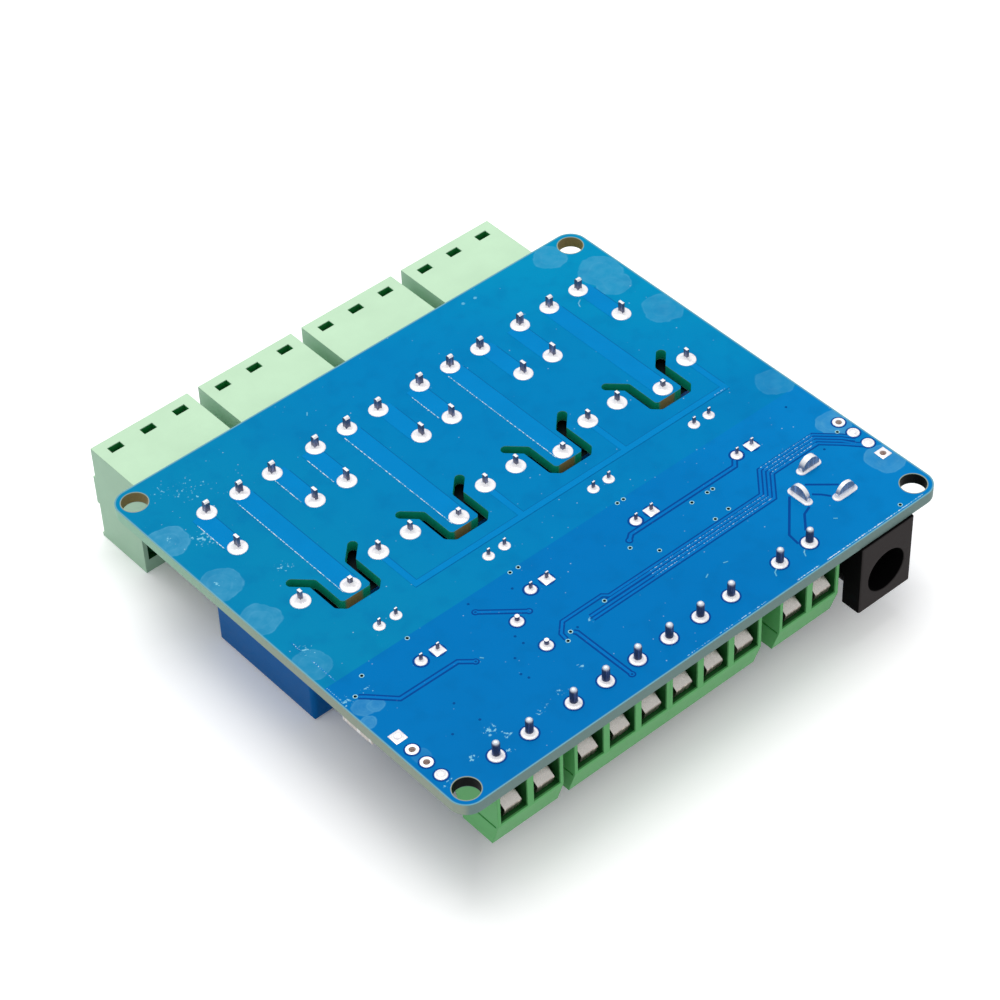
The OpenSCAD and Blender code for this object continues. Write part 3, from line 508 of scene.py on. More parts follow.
@dataclass(frozen=True)
class SolderMask:
    """Blue solder mask over laminate and copper, with a bare rim, dried flux and dust, and painted light and shade on
    its cut edges and on the walls of its holes and slots.

    Attributes:
        bare: Mask over plain laminate, left of the middle.
        bright: The same mask, right of the middle.
        bare_fade: X at which the first begins to turn into the second, and X at which it has.
        pour: Mask over the copper pour along the terminals, at its left end.
        pour_bright: The same mask at the pour's right end.
        pour_fade: X at which the first begins to turn into the second, and X at which it has.
        tint: Greener mask towards the far right corner.
        tint_fade: Values of 1.4 X + Y at which the tint begins and is full.
        rim_line: Pale line along the outline.
        hole_line: Pale lip round a mounting hole.
        laminate: Cut edge of the board.
        left_edge_lit_far: Cut edge on the left side, at its far end, painted lighter still as painted light.
        left_edge_lit: Cut edge on the left side, at its near end, painted lighter than the other cut edges as painted
            light.
        left_fade: Y at which the near end's colour begins to turn into the far end's, and Y at which it has.
        weave: Dark threads in the cut edge.
        arris: Pale corner between a cut side and the mask.
        wall: Walls of the slots and pin holes: the laminate's green, painted lighter as painted light to make up for
            the shade inside them.
        drilled: Walls of the mounting holes, and of the slots beside the relays' common pins.
        near_wall_shade: Walls of the mounting holes at the terminals, and of the vias, painted dark as painted shade.
        near_fade: Y below which the near walls' colour holds, and Y above which the others hold.
        flux: Dried flux.
        crumb: Crumbs of flux.
        dust: Dust.
        half: Half the board's length and width, in millimetres.
        corner: Radius of the board's corners, in millimetres.
        thickness: Thickness of the board, in millimetres.
        mount: Mounting holes' distance from the middle lines, in millimetres.
        mount_r: Radius of the mounting holes, in millimetres.
        channel: Middle of the first channel along X and the pitch of the channels, in millimetres.
        brown: Half the width of the brown part of a slot, where it has faded, and its distance from the middle.
        brown_span: Lowest and highest Y of the brown part.
        pour_line: Height of the pour's edge at X = 0, and its slope.
        dusty_spot: Middle of the dustiest place, at the first header.
        stains: Marks of dried flux.
        splashes: Places where crumbs of flux lie.
    """

    bare: Tone = Tone(4, 136, 184)
    bright: Tone = Tone(0, 130, 191)
    bare_fade: Spot = (-34.0, 4.0)
    pour: Tone = Tone(0, 119, 191)
    pour_bright: Tone = Tone(2, 129, 200)
    pour_fade: Spot = (2.0, 36.0)
    tint: Tone = Tone(0, 147, 194)
    tint_fade: Spot = (30.0, 84.0)
    rim_line: Tone = Tone(120, 176, 190)
    hole_line: Tone = Tone(168, 176, 150)
    laminate: Tone = Tone(146, 174, 170)
    left_edge_lit_far: Tone = Tone(188, 242, 212)
    left_edge_lit: Tone = Tone(188, 202, 184)
    left_fade: Spot = (-6.0, 30.0)
    weave: Tone = Tone(60, 84, 84)
    arris: Tone = Tone(150, 190, 186)
    wall: Tone = Tone(14, 172, 140)
    drilled: Tone = Tone(150, 136, 92)
    near_wall_shade: Tone = Tone(30, 34, 34)
    near_fade: Spot = (-8.0, -6.0)
    flux: Tone = Tone(104, 184, 220)
    crumb: Tone = Tone(140, 212, 236)
    dust: Tone = Tone(206, 232, 246)
    half: Spot = (38.5, 33.75)
    corner: float = 2.5
    thickness: float = 1.6
    mount: Spot = (36.0, 31.25)
    mount_r: float = 1.7
    channel: Spot = (-25.5, 17.0)
    brown: Point = (1.0, 1.5, 0.7)
    brown_span: Spot = (-0.8, 1.8)
    pour_line: Spot = (-8.88, -0.003)
    dusty_spot: Spot = (-29.5, 26.5)
    stains: tuple[Stain, ...] = (
        Stain(-37.2, 22.9, 2.75, 0.32),
        Stain(-36.9, 12.8, 2.8, 0.26),
        Stain(-36.7, 12.8, 1.6, 0.1),
        Stain(-36.9, 5.0, 2.65, 0.26),
        Stain(-37.0, -4.8, 2.5, 0.2),
        Stain(-36.6, -14.0, 1.5, 0.24),
        Stain(-35.6, -14.6, 1.2, 0.3),
        Stain(-37.7, -16.2, 1.0, 0.3),
        Stain(32.3, 31.2, 2.3, 0.22),
        Stain(35.3, 24.6, 3.1, 0.22),
        Stain(34.9, 21.6, 2.4, 0.22),
        Stain(36.2, 13.4, 2.8, 0.18),
        Stain(36.7, -6.6, 2.5, 0.14),
        Stain(36.6, -17.1, 2.3, 0.3),
        Stain(36.8, -25.9, 2.6, 0.26),
        Stain(-36.6, -24.0, 1.2, 0.12),
    )
    splashes: tuple[Stain, ...] = (
        Stain(-28.4, -26.5, 1.3, 1.0),
        Stain(-27.4, -28.2, 1.0, 0.9),
        Stain(-28.7, -30.2, 0.9, 0.8),
        Stain(-32.5, -28.2, 0.9, 1.0),
        Stain(-36.9, -29.3, 1.2, 0.7),
        Stain(-22.3, -28.2, 0.8, 0.75),
        Stain(-21.2, -27.8, 0.7, 0.6),
        Stain(-18.4, -27.3, 1.1, 0.45),
        Stain(-14.2, -26.1, 0.9, 0.75),
        Stain(-33.4, 20.4, 2.2, 0.85),
        Stain(-32.0, 18.6, 1.4, 0.7),
        Stain(-32.6, 30.6, 2.0, 0.42),
        Stain(-29.5, 28.4, 3.4, 0.38),
        Stain(-36.7, 23.0, 0.8, 0.8),
        Stain(-37.0, 13.1, 0.7, 0.8),
        Stain(-29.4, 9.9, 1.6, 0.6),
        Stain(-22.4, -17.6, 0.7, 0.8),
        Stain(-8.2, -21.4, 0.7, 0.8),
        Stain(-36.0, -2.6, 1.6, 0.7),
        Stain(-37.6, -11.9, 1.2, 0.9),
        Stain(-34.8, -12.2, 1.2, 0.6),
    )

    def _plan(self, desk: NodeDesk) -> Socket:
        """Returns the point in plan."""
        return desk.vector("MULTIPLY", desk.place(), (1, 1, 0))

    def _folded(self, desk: NodeDesk) -> Socket:
        """Returns the point in plan, folded into one quarter of the board."""
        return desk.vector("ABSOLUTE", self._plan(desk))

    def _away(self, desk: NodeDesk, place: Socket, spot: Spot) -> Socket:
        """Returns the distance of a point from a spot on the solder side, in millimetres."""
        return desk.vector("DISTANCE", place, (*spot, 0.0))

    def _rim(self, desk: NodeDesk) -> Socket:
        """Measures how far a point lies inside the outline.

        Args:
            desk: The material's node tree.

        Returns:
            The distance in from the outline, in millimetres, no more than the corners' radius.
        """
        corner = (self.half[0] - self.corner, self.half[1] - self.corner, 0.0)
        over = desk.vector("SUBTRACT", self._folded(desk), corner)
        return desk.minus(self.corner, desk.vector("LENGTH", desk.vector("MAXIMUM", over)))

    def _stained(self, desk: NodeDesk) -> Socket:
        """Spreads the dried flux, with a paler ring at the edge of each mark and another inside it.

        Args:
            desk: The material's node tree.

        Returns:
            How strongly flux covers the mask, from 0 to 1.
        """
        plan = self._plan(desk)
        ragged = desk.times(desk.minus(desk.noise(0.4, 5.0), 0.5), 1.5)
        total: Value = 0.0
        for mark in self.stains:
            away = self._away(desk, plan, (mark.x, mark.y))
            edge = desk.minus(mark.radius, desk.plus(away, ragged))
            body = desk.times(desk.step(edge, -0.08, 0.16), mark.strength)
            ring = desk.minus(desk.step(edge, -0.05, 0.06), desk.step(edge, 0.1, 0.3))
            rise, fall = ([share * mark.radius for share in shares] for shares in ((0.4, 0.44), (0.46, 0.55)))
            inner = desk.minus(desk.step(edge, *rise), desk.step(edge, *fall))
            rings = desk.plus(desk.times(ring, 0.35), desk.times(inner, 0.22))
            total = desk.larger(total, desk.plus(body, desk.times(rings, mark.strength)))
        cloudy = desk.plus(desk.times(desk.step(desk.noise(0.7, 6.0), 0.3, 0.7), 0.6), 0.6)
        return desk.times(total, cloudy, clamp=True)

    def _splashed(self, desk: NodeDesk) -> Socket:
        """Scatters the crumbs of flux round the splashes.

        Args:
            desk: The material's node tree.

        Returns:
            1 on a crumb and 0 elsewhere.
        """
        total: Value = 0.0
        for mark in self.splashes:
            away = self._away(desk, desk.place(), (mark.x, mark.y))
            near = desk.times(desk.step(away, mark.radius, 0.3 * mark.radius), mark.strength)
            total = desk.larger(total, near)
        crumbs = desk.plus(desk.noise(2.3, 5.0), desk.times(total, 0.16))
        return desk.times(desk.step(crumbs, 0.66, 0.72), desk.step(total, 0.0, 0.3))

    def _dusted(self, desk: NodeDesk) -> Socket:
        """Scatters the dust, which lies thickest at the first header.

        Args:
            desk: The material's node tree.

        Returns:
            1 on a speck and 0 elsewhere.
        """
        at_header = desk.step(self._away(desk, desk.place(), self.dusty_spot), 9.0, 4.0)
        flecked = desk.larger(desk.step(desk.noise(0.13, 2.0), 0.42, 0.66), at_header)
        coarse = desk.larger(desk.specks(1.2, 0.13), desk.times(desk.specks(2.3, 0.16), at_header))
        return desk.larger(desk.times(coarse, flecked), desk.specks(0.8, 0.09))

    def _face(self, desk: NodeDesk, rim: Socket) -> Socket:
        """Colours the flat sides of the board.

        Args:
            desk: The material's node tree.
            rim: Distance in from the board's outline.

        Returns:
            The colour.
        """
        across, along = desk.axis("X"), desk.axis("Y")
        line = desk.plus(desk.times(across, self.pour_line[1]), self.pour_line[0])
        upper = desk.step(desk.minus(along, line), -0.05, 0.05)
        plain = desk.blend(desk.step(across, *self.bare_fade), self.bare, self.bright)
        corner = desk.step(desk.plus(desk.times(across, 1.4), along), *self.tint_fade)
        plain = desk.blend(corner, plain, self.tint)
        copper = desk.blend(desk.step(across, *self.pour_fade), self.pour, self.pour_bright)
        mask = desk.blend(upper, copper, plain)
        cloud = desk.step(desk.noise(0.09, 3.0), 0.45, 0.75)
        mask = desk.blend(desk.times(cloud, 0.22), mask, self.pour.linear(0.82))
        blotch = desk.step(desk.noise(0.32, 6.0), 0.46, 0.72)
        mask = desk.blend(desk.times(blotch, 0.2), mask, self.pour.linear(0.7))
        top = desk.step(desk.axis("Z"), -0.9, -0.7)
        mask = desk.blend(desk.times(self._stained(desk), top), mask, self.flux)
        mask = desk.blend(desk.times(self._dusted(desk), desk.times(top, 0.75)), mask, self.dust)
        mask = desk.blend(desk.times(self._splashed(desk), desk.times(top, 0.8)), mask, self.crumb)
        hole = self._away(desk, self._folded(desk), self.mount)
        lip = desk.step(hole, self.mount_r + 0.16, self.mount_r + 0.04)
        mask = desk.blend(lip, mask, self.hole_line)
        return desk.blend(desk.step(rim, 0.26, 0.1), mask, self.rim_line)

    def _browned(self, desk: NodeDesk) -> Socket:
        """Finds the brown walls: the mounting holes, and the slots beside the relays' common pins.

        Args:
            desk: The material's node tree.

        Returns:
            1 on a brown wall and 0 elsewhere.
        """
        hole = desk.step(self._away(desk, self._folded(desk), self.mount), self.mount_r + 0.4, self.mount_r + 0.1)
        middle, pitch = self.channel
        solid, faded, shift = self.brown
        turn = desk.number("FLOORED_MODULO", desk.minus(desk.axis("X"), middle - pitch / 2), pitch)
        slot = desk.step(desk.apart(turn, pitch / 2 - shift), faded, solid)
        low, high = self.brown_span
        slot = desk.times(slot, desk.step(desk.axis("Y"), high + 0.8, high))
        slot = desk.times(slot, desk.step(desk.axis("Y"), low - 0.6, low))
        return desk.larger(hole, slot)

    def _cut(self, desk: NodeDesk, rim: Socket) -> Socket:
        """Colours the upright sides: the outline, the slots and the holes, with painted light and shade.

        Args:
            desk: The material's node tree.
            rim: Distance in from the board's outline.

        Returns:
            The colour.
        """
        weave = desk.noise(3.0, 2.0, (1, 1, 6))
        # Painted light: the left side's cut edge is lighter than the others, and lighter still towards its far end.
        left = desk.blend(desk.step(desk.axis("Y"), *self.left_fade), self.left_edge_lit, self.left_edge_lit_far)
        plain = desk.blend(desk.step(desk.facing("X"), -0.5, -0.8), self.laminate, left)
        outer = desk.blend(desk.times(weave, 0.3), plain, self.weave)
        # Painted shade darkens the walls in the near part of the board; elsewhere the walls are painted a lighter teal
        # as painted light, to make up for the shade inside them.
        far = desk.step(desk.axis("Y"), *self.near_fade)
        inner = desk.blend(far, self.near_wall_shade, desk.shades(weave, self.wall, 0.7, 1.25))
        brown = desk.blend(far, self.near_wall_shade, desk.shades(weave, self.drilled, 0.75, 1.3))
        inner = desk.blend(self._browned(desk), inner, brown)
        inside = desk.step(rim, 0.15, 0.5)
        lip = desk.step(desk.unsigned(desk.plus(desk.axis("Z"), self.thickness / 2)), 0.68, 0.8)
        strength = desk.plus(desk.times(inside, 0.35), 0.3)
        return desk.blend(desk.times(lip, strength), desk.blend(inside, outer, inner), self.arris)

    def build(self) -> Material:
        """Builds the material.

        Returns:
            The material.
        """
        desk = NodeDesk("solder_mask", self.pour, 0.34, gloss=MASK_GLOSS)
        rim = self._rim(desk)
        flat = desk.step(desk.unsigned(desk.facing("Z")), 0.45, 0.55)
        desk.colour(desk.blend(flat, self._cut(desk, rim), self._face(desk, rim)))
        desk.rough(desk.noise(0.5, 4.0), 0.26, 0.46)
        desk.relief(desk.noise(1.3, 4.0), 0.01, 0.07)
        return desk.material


@dataclass(frozen=True)
class MaskedCopper:
    """Solder mask over a raised track, with dust caught along it.

    Attributes:
        name: Name of the material.
        base: Colour of the masked track.
        dust: Share of the track that bright dust covers.
        grain: Grains of dust to the millimetre.
        caught: Colour of the dust.
    """

    name: str
    base: Tone
    dust: float = 0.0
    grain: float = 3.2
    caught: Tone = Tone(206, 230, 242)

    def build(self) -> Material:
        """Builds the material.

        Returns:
            The material.
        """
        desk = NodeDesk(self.name, self.base, 0.34, gloss=MASK_GLOSS)
        colour = desk.shades(desk.noise(0.3, 3.0), self.base, 0.92, 1.08)
        crumbs = desk.step(desk.noise(self.grain, 2.0), 0.68 - 0.26 * self.dust, 0.74 - 0.2 * self.dust)
        desk.colour(desk.blend(desk.times(crumbs, min(1.0, 2 * self.dust)), colour, self.caught))
        desk.relief(desk.noise(1.3, 4.0), 0.01)
        return desk.material


@dataclass(frozen=True)
class PrintedInk:
    """White ink of the outlines on the parts side.

    Attributes:
        name: Name of the material.
        base: Colour of the ink.
        patchy: Colour where it is thin.
    """

    name: str = "white_ink"
    base: Tone = Tone(224, 226, 222)
    patchy: Tone = Tone(120, 160, 190)

    def build(self) -> Material:
        """Builds the material.

        Returns:
            The material.
        """
        desk = NodeDesk(self.name, self.base, 0.6)
        thin = desk.step(desk.noise(2.0, 4.0), 0.58, 0.8)
        desk.colour(desk.blend(thin, self.base, self.patchy))
        desk.relief(desk.noise(6.0, 2.0), 0.01)
        return desk.material


@dataclass(frozen=True)
class ShrunkSleeve:
    """Dark shrunk sleeve of the capacitor with a pale stripe down one side, and its bare metal top.

    Attributes:
        sleeve: Colour of the sleeve.
        stripe: Colour of the stripe.
        metal: Colour of the bare top.
        centre: Middle of the capacitor in plan, in millimetres.
        top: Height of its bare end.
        stripe_half: Half the width of the stripe.
        stripe_from: X at which the stripe begins, from the middle.
        bare_radius: Radius of the bare metal.
        soft: Width over which a colour changes.
    """

    sleeve: Tone = Tone(28, 34, 62)
    stripe: Tone = Tone(178, 184, 196)
    metal: Tone = Tone(196, 198, 202)
    centre: Spot = (-14.9, -18.44)
    top: float = -14.4
    stripe_half: float = 1.6
    stripe_from: float = -3.6
    bare_radius: float = 4.2
    soft: float = 0.1

    def build(self) -> Material:
        """Builds the material.

        Returns:
            The material.
        """
        desk = NodeDesk("capacitor_sleeve", self.sleeve, 0.3)
        across = desk.minus(desk.axis("X"), self.centre[0])
        aside = desk.apart(desk.axis("Y"), self.centre[1])
        side = desk.step(across, self.stripe_from, self.stripe_from - 2 * self.soft)
        band = desk.times(side, desk.step(aside, self.stripe_half + self.soft, self.stripe_half))
        away = desk.vector("DISTANCE", desk.place(), (*self.centre, self.top))
        end = desk.step(away, self.bare_radius + self.soft, self.bare_radius)
        bare = desk.times(end, desk.step(desk.facing("Z"), -0.4, -0.6))
        desk.colour(desk.blend(bare, desk.blend(band, self.sleeve, self.stripe), self.metal))
        desk.tree.links.new(bare, desk.shader.inputs["Metallic"])
        desk.relief(desk.noise(1.5, 3.0), 0.01, 0.2)
        return desk.material


CHANNELS = (-25.5, -8.5, 8.5, 25.5)
"""Middles of the four channels along X, in millimetres."""
PLUG_POLES = tuple(channel + step * 5.08 for channel in CHANNELS for step in (-1, 0, 1))
"""Middles of the plugs' poles along X, in millimetres."""
BLOCK_POLES = (-30.37, -25.37, -18.62, -13.62, -8.62, -3.62, 1.38, 6.38, 14.45, 19.45)
"""Middles of the screw terminals' poles along X, in millimetres."""
LAMPS = (-30.0, -20.0, -3.0, 14.0, 31.0)
"""Middles of the indicator lamps along X, in millimetres."""
CLEAR_OF_BOARD = 0.05
"""Height above which only what stands out of the solder side is left, in millimetres."""


class Finish(Enum):
    """The finishes of the board and its parts."""

    MASK = SolderMask()
    WIDE_TRACK = MaskedCopper("masked_wide_track", Tone(2, 134, 202))
    TRACK = MaskedCopper("masked_track", Tone(2, 118, 196), dust=0.05)
    GAP = MaskedCopper("track_gap", Tone(4, 74, 152), dust=0.02)
    # Painted shadow at the foot of the wide tracks and of the coil bus.
    SHADE = MaskedCopper("track_foot", Tone(2, 108, 168))
    # Painted highlight along the wide tracks' left edges, broken up with dust, also used for the dust along the near
    # edge.
    GLINT_AND_DUST = MaskedCopper("dust_and_glint_line", Tone(70, 168, 216), dust=0.85, grain=3.5, caught=Tone(222, 240, 248))
    LANES = MaskedCopper("lane_edge", Tone(20, 134, 204), dust=0.62, grain=3.5, caught=Tone(176, 220, 242))
    FLUX = MaskedCopper("dried_flux", Tone(96, 180, 216), dust=0.35, grain=2.5)
    VIA = SolderMetal("via_ring", Tone(150, 208, 220), dull=Tone(120, 180, 200), metallic=0.2)
    DOT = MaskedCopper("tented_hole", Tone(4, 80, 150))
    INK = PrintedInk()
    SOLDER = SolderMetal()
    # Plated metals, painted bright on the ends that face up as a painted highlight and darker on the sides as painted
    # shade and painted reflection.
    TIN = PlatedMetal("tin_plate", Tone(238, 238, 240), Tone(112, 110, 128), metallic=0.6)
    POST = PlatedMetal("clamp_post", Tone(214, 220, 230), Tone(74, 80, 106), roughness=0.34, streak=5.0, metallic=0.6)
    SPRING = PlatedMetal("jack_tab", Tone(238, 238, 240), Tone(168, 172, 184), streak=5.0, metallic=0.5)
    TAB = PlatedMetal("tinned_tab", Tone(240, 234, 228), Tone(228, 220, 213), roughness=0.45, streak=4.0, metallic=0.1)
    ZINC = PlatedMetal("zinc_plate", Tone(206, 206, 208), Tone(190, 188, 188), roughness=0.34)
    LEAF = PlatedMetal("leaf_plate", Tone(192, 188, 183), Tone(138, 126, 120), roughness=0.26, streak=3.0, metallic=0.9)
    BARREL = PlatedMetal(
        "plated_barrel",
        Tone(236, 218, 210),
        Tone(232, 212, 204),
        roughness=0.45,
        streak=3.0,
        metallic=0.1,
    )
    PLUG = MouldedPlastic(
        "pale_green_nylon",
        Tone(200, 234, 201),
        roughness=0.42,
        # Painted shade: the plugs' sides take a darker, bluer green.
        side=Tone(184, 226, 196),
        patches=(
            # Painted shade inside the slots at the plugs' poles.
            Patch(Tone(34, 140, 66), PLUG_POLES, half=1.0, depth=(42.4, 43.7), height=(-18.0, -2.44)),
            # Painted shade in the pocket on each plug's inner side.
            Patch(Tone(16, 84, 40), CHANNELS, half=7.1, depth=(35.98, 38.8), height=(-15.95, -9.9)),
        ),
    )
    HEADER = MouldedPlastic("pale_green_header", Tone(196, 230, 197), roughness=0.42)
    TERMINAL = MouldedPlastic(
        "green_nylon",
        Tone(96, 190, 106),
        roughness=0.4,
        # Painted light: the terminals' sides take a lighter green.
        side=Tone(108, 196, 118),
        # Painted shade inside the terminals' windows.
        patches=(Patch(Tone(34, 96, 44), BLOCK_POLES, half=2.12, depth=(-32.4, -26.6), height=(-8.4, -3.05)),),
    )
    RELAY = MouldedPlastic(
        "blue_casing",
        Tone(8, 106, 182),
        roughness=0.34,
        grain=7.0,
        depth=0.004,
        edge=0.3,
        gloss=0.06,
        top=Tone(14, 24, 28),
    )
    JACK = MouldedPlastic(
        "black_moulding",
        Tone(12, 11, 12),
        roughness=0.5,
        grain=8.0,
        depth=0.012,
        edge=0.2,
        mottle=0.15,
        gloss=0.02,
        # Painted light: the jack's front face is painted a lighter grey.
        patches=(Patch(Tone(66, 62, 62), (28.75,), half=4.7, depth=(-34.3, -34.12), height=(-12.6, -1.5)),),
    )
    EPOXY = MouldedPlastic("black_epoxy", Tone(30, 30, 32), roughness=0.55, grain=12.0, depth=0.01, edge=0.08)
    RUBBER = MouldedPlastic("bung_rubber", Tone(30, 30, 30), roughness=0.8, grain=6.0, depth=0.02, edge=0.1)
    SLEEVE = ShrunkSleeve()
    LENS = MouldedPlastic(
        "red_lens",
        Tone(196, 60, 40),
        roughness=0.2,
        grain=5.0,
        depth=0.003,
        edge=0.1,
        patches=(Patch(Tone(232, 228, 214), LAMPS, half=1.1, depth=(-22.0, -4.0), height=(-1.88, -1.5)),),
    )
    CHIP = MouldedPlastic("resistor_chip", Tone(36, 38, 44), roughness=0.35, grain=8.0, depth=0.004, edge=0.05)

    def material(self) -> Material:
        """Builds the finish's material the first time it is asked for.

        Returns:
            The material.
        """
        if self.name not in _built:
            _built[self.name] = self.value.build()
        return _built[self.name]


_built: dict[str, Material] = {}


# ---------------------------------------------------------------------------
# Modelling
# ---------------------------------------------------------------------------


def choose(*objs: Shape) -> None:
    """Selects these objects alone and makes the last one active.

    Args:
        *objs: The objects, which may be none.
    """
    bpy.ops.object.select_all(action="DESELECT")
    for obj in objs:
        obj.select_set(True)
        bpy.context.view_layer.objects.active = obj


class Editing:
    """Edit mode on one mesh, for the length of a with block."""

    def __init__(self, obj: Shape, everything: bool = False) -> None:
        """Keeps what to edit.

        Args:
            obj: The mesh object.
            everything: Whether all of the mesh starts selected.
        """
        self.obj, self.everything = obj, everything

    def __enter__(self) -> "Editing":
        """Enters edit mode.

        Returns:
            The edit.
        """
        choose(self.obj)
        bpy.ops.object.mode_set(mode="EDIT")
        bpy.ops.mesh.select_mode(type="VERT")
        bpy.ops.mesh.select_all(action="SELECT" if self.everything else "DESELECT")
        return self

    def __exit__(self, *details: object) -> None:
        """Leaves edit mode."""
        bpy.ops.object.mode_set(mode="OBJECT")

    def points(self, test: Callable[[Vector], bool]) -> None:
        """Selects the points whose place passes a test.

        Args:
            test: The test.
        """
        mesh = bmesh.from_edit_mesh(self.obj.data)
        for point in mesh.verts:
            point.select_set(test(point.co))
        bmesh.update_edit_mesh(self.obj.data)


def extrude(x: float = 0.0, y: float = 0.0, z: float = 0.0) -> None:
    """Extrudes what is selected by a step, in millimetres."""
    bpy.ops.mesh.extrude_region_move(TRANSFORM_OT_translate={"value": (x, y, z)})


def face_outwards() -> None:
    """Turns all faces of the mesh in edit mode outwards."""
    bpy.ops.mesh.select_all(action="SELECT")
    bpy.ops.mesh.normals_make_consistent(inside=False)


def apply_modifier(obj: Shape, kind: str, **settings: object) -> None:
    """Adds a modifier and applies it.

    Args:
        obj: The mesh object.
        kind: Blender's name of the modifier type.
        **settings: The modifier's settings.
    """
    choose(obj)
    modifier = obj.modifiers.new(kind.title(), kind)
    for key, value in settings.items():
        setattr(modifier, key, value)
    bpy.ops.object.modifier_apply(modifier=modifier.name)


def settle(obj: Shape) -> Shape:
    """Puts an object's place, turn and size into its mesh.

    Args:
        obj: The object.

    Returns:
        The same object.
    """
    choose(obj)
    bpy.ops.object.transform_apply(location=True, rotation=True, scale=True)
    return obj


def strip(path: Sequence[Spot], width: float, base: float, height: float, soft: float = 0.0) -> Shape:
    """Models a flat strip with mitred bends along a path.

    Args:
        path: Corners of its middle line, in millimetres.
        width: Width of the strip.
        base: Height of its underside.
        height: Thickness of the strip.
        soft: Width of the bevel on its edges.

    Returns:
        The strip, in millimetres.
    """
    choose()
    bpy.ops.mesh.primitive_plane_add(size=1, location=(*path[0], base))
    obj = settle(bpy.context.object)
    with Editing(obj, everything=True):
        bpy.ops.mesh.merge(type="CENTER")
        for start, end in zip(path, path[1:]):
            extrude(end[0] - start[0], end[1] - start[1])
        bpy.ops.mesh.select_all(action="SELECT")
        extrude(z=height)
    apply_modifier(obj, "SOLIDIFY", thickness=width, offset=0.0, use_even_offset=True)
    with Editing(obj):
        face_outwards()
    if soft:
        apply_modifier(obj, "BEVEL", width=soft, segments=1, limit_method="ANGLE", angle_limit=math.radians(50))
    return obj


def ring(outer: float, inner: float, base: float, height: float, sides: int = 32) -> Shape:
    """Models a flat ring round the origin.

    Args:
        outer: Outer radius, in millimetres.
        inner: Inner radius.
        base: Height of its underside.
        height: Thickness of the ring.
        sides: Number of sides.

    Returns:
        The ring.
    """
    choose()
    bpy.ops.mesh.primitive_circle_add(vertices=sides, radius=outer, location=(0, 0, base))
    obj = settle(bpy.context.object)
    with Editing(obj, everything=True):
        extrude()
        bpy.ops.transform.resize(value=(inner / outer, inner / outer, 1))
        bpy.ops.mesh.select_all(action="SELECT")
        extrude(z=height)
        face_outwards()
    return obj


def turned(profile: Sequence[Spot], sides: int = 24) -> Shape:
    """Models a turned shape by drawing a circle up through a profile and closing it at its top.

    Args:
        profile: Radius and height of each circle, in millimetres.
        sides: Number of sides.

    Returns:
        The shape round the Z axis.
    """
    choose()
    bpy.ops.mesh.primitive_circle_add(vertices=sides, radius=profile[0][0], location=(0, 0, profile[0][1]))
    obj = settle(bpy.context.object)
    with Editing(obj, everything=True):
        for (wide, low), (narrow, high) in zip(profile, profile[1:]):
            extrude(z=high - low)
            bpy.ops.transform.resize(value=(narrow / wide, narrow / wide, 1))
        bpy.ops.mesh.edge_face_add()
        face_outwards()
    return obj


def slab(size: Sequence[float], centre: Sequence[float], soft: float = 0.05) -> Shape:
    """Models a small block with bevelled edges.

    Args:
        size: Its three sizes, in millimetres.
        centre: Its centre.
        soft: Width of the bevel.

    Returns:
        The block.
    """
    choose()
    bpy.ops.mesh.primitive_cube_add(size=1, location=centre, scale=size)
    obj = settle(bpy.context.object)
    apply_modifier(obj, "BEVEL", width=soft, segments=2, limit_method="ANGLE")
    return obj


def copies(pattern: Shape, spots: Iterable[Sequence[float]], turn: float = 0.0) -> list[Shape]:
    """Copies a shape to several places and removes the first one.

    Args:
        pattern: The shape, round the origin.
        spots: Places for its origin, in millimetres, with X and Y and optionally Z.
        turn: Turn about Z, in degrees.

    Returns:
        The copies, each with its own mesh.
    """
    made = []
    for spot in spots:
        twin = pattern.copy()
        twin.data = pattern.data.copy()
        bpy.context.collection.objects.link(twin)
        place = Vector((spot[0], spot[1], spot[2] if len(spot) > 2 else 0.0))
        twin.matrix_world = Matrix.Translation(place) @ Matrix.Rotation(math.radians(turn), 4, "Z")
        made.append(settle(twin))
    bpy.data.objects.remove(pattern)
    return made


def piece(
    name: str,
    parts: Sequence[Shape],
    finish: Finish,
    replaces: Sequence[str] = (),
    smooth: float = 35.0,
) -> None:
    """Joins shapes into one finished piece of the object, in metres.

    Args:
        name: Name of the piece.
        parts: Shapes in millimetres.
        finish: Its finish.
        replaces: CAD nodes that the piece stands for.
        smooth: Greatest angle that is shaded smooth, in degrees.
    """
    choose(*parts)
    if len(parts) > 1:
        bpy.ops.object.join()
    obj = bpy.context.view_layer.objects.active
    obj.name = obj.data.name = name
    obj.scale = (MM, MM, MM)
    settle(obj)
    bpy.ops.object.shade_smooth_by_angle(angle=math.radians(smooth))
    obj.data.materials.clear()
    obj.data.materials.append(finish.material())
    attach(obj, "root")
    if replaces:
        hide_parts(*replaces)
    log.info("%s: %d faces", name, len(obj.data.polygons))


@dataclass(frozen=True)
class Foot:
    """One separate solid of a CAD node, in plan, in millimetres.

    Attributes:
        x: Centre along X.
        y: Centre along Y.
        width: Size along X.
        depth: Size along Y.
        low: Its lowest height.
        high: Its highest height.
    """

    x: float
    y: float
    width: float
    depth: float
    low: float
    high: float

    def gap(self, other: "Foot") -> float:
        """Returns how far this solid's centre lies outside another solid, along X and along Y together."""
        return max(0, abs(other.x - self.x) - other.width / 2) + max(0, abs(other.y - self.y) - other.depth / 2)


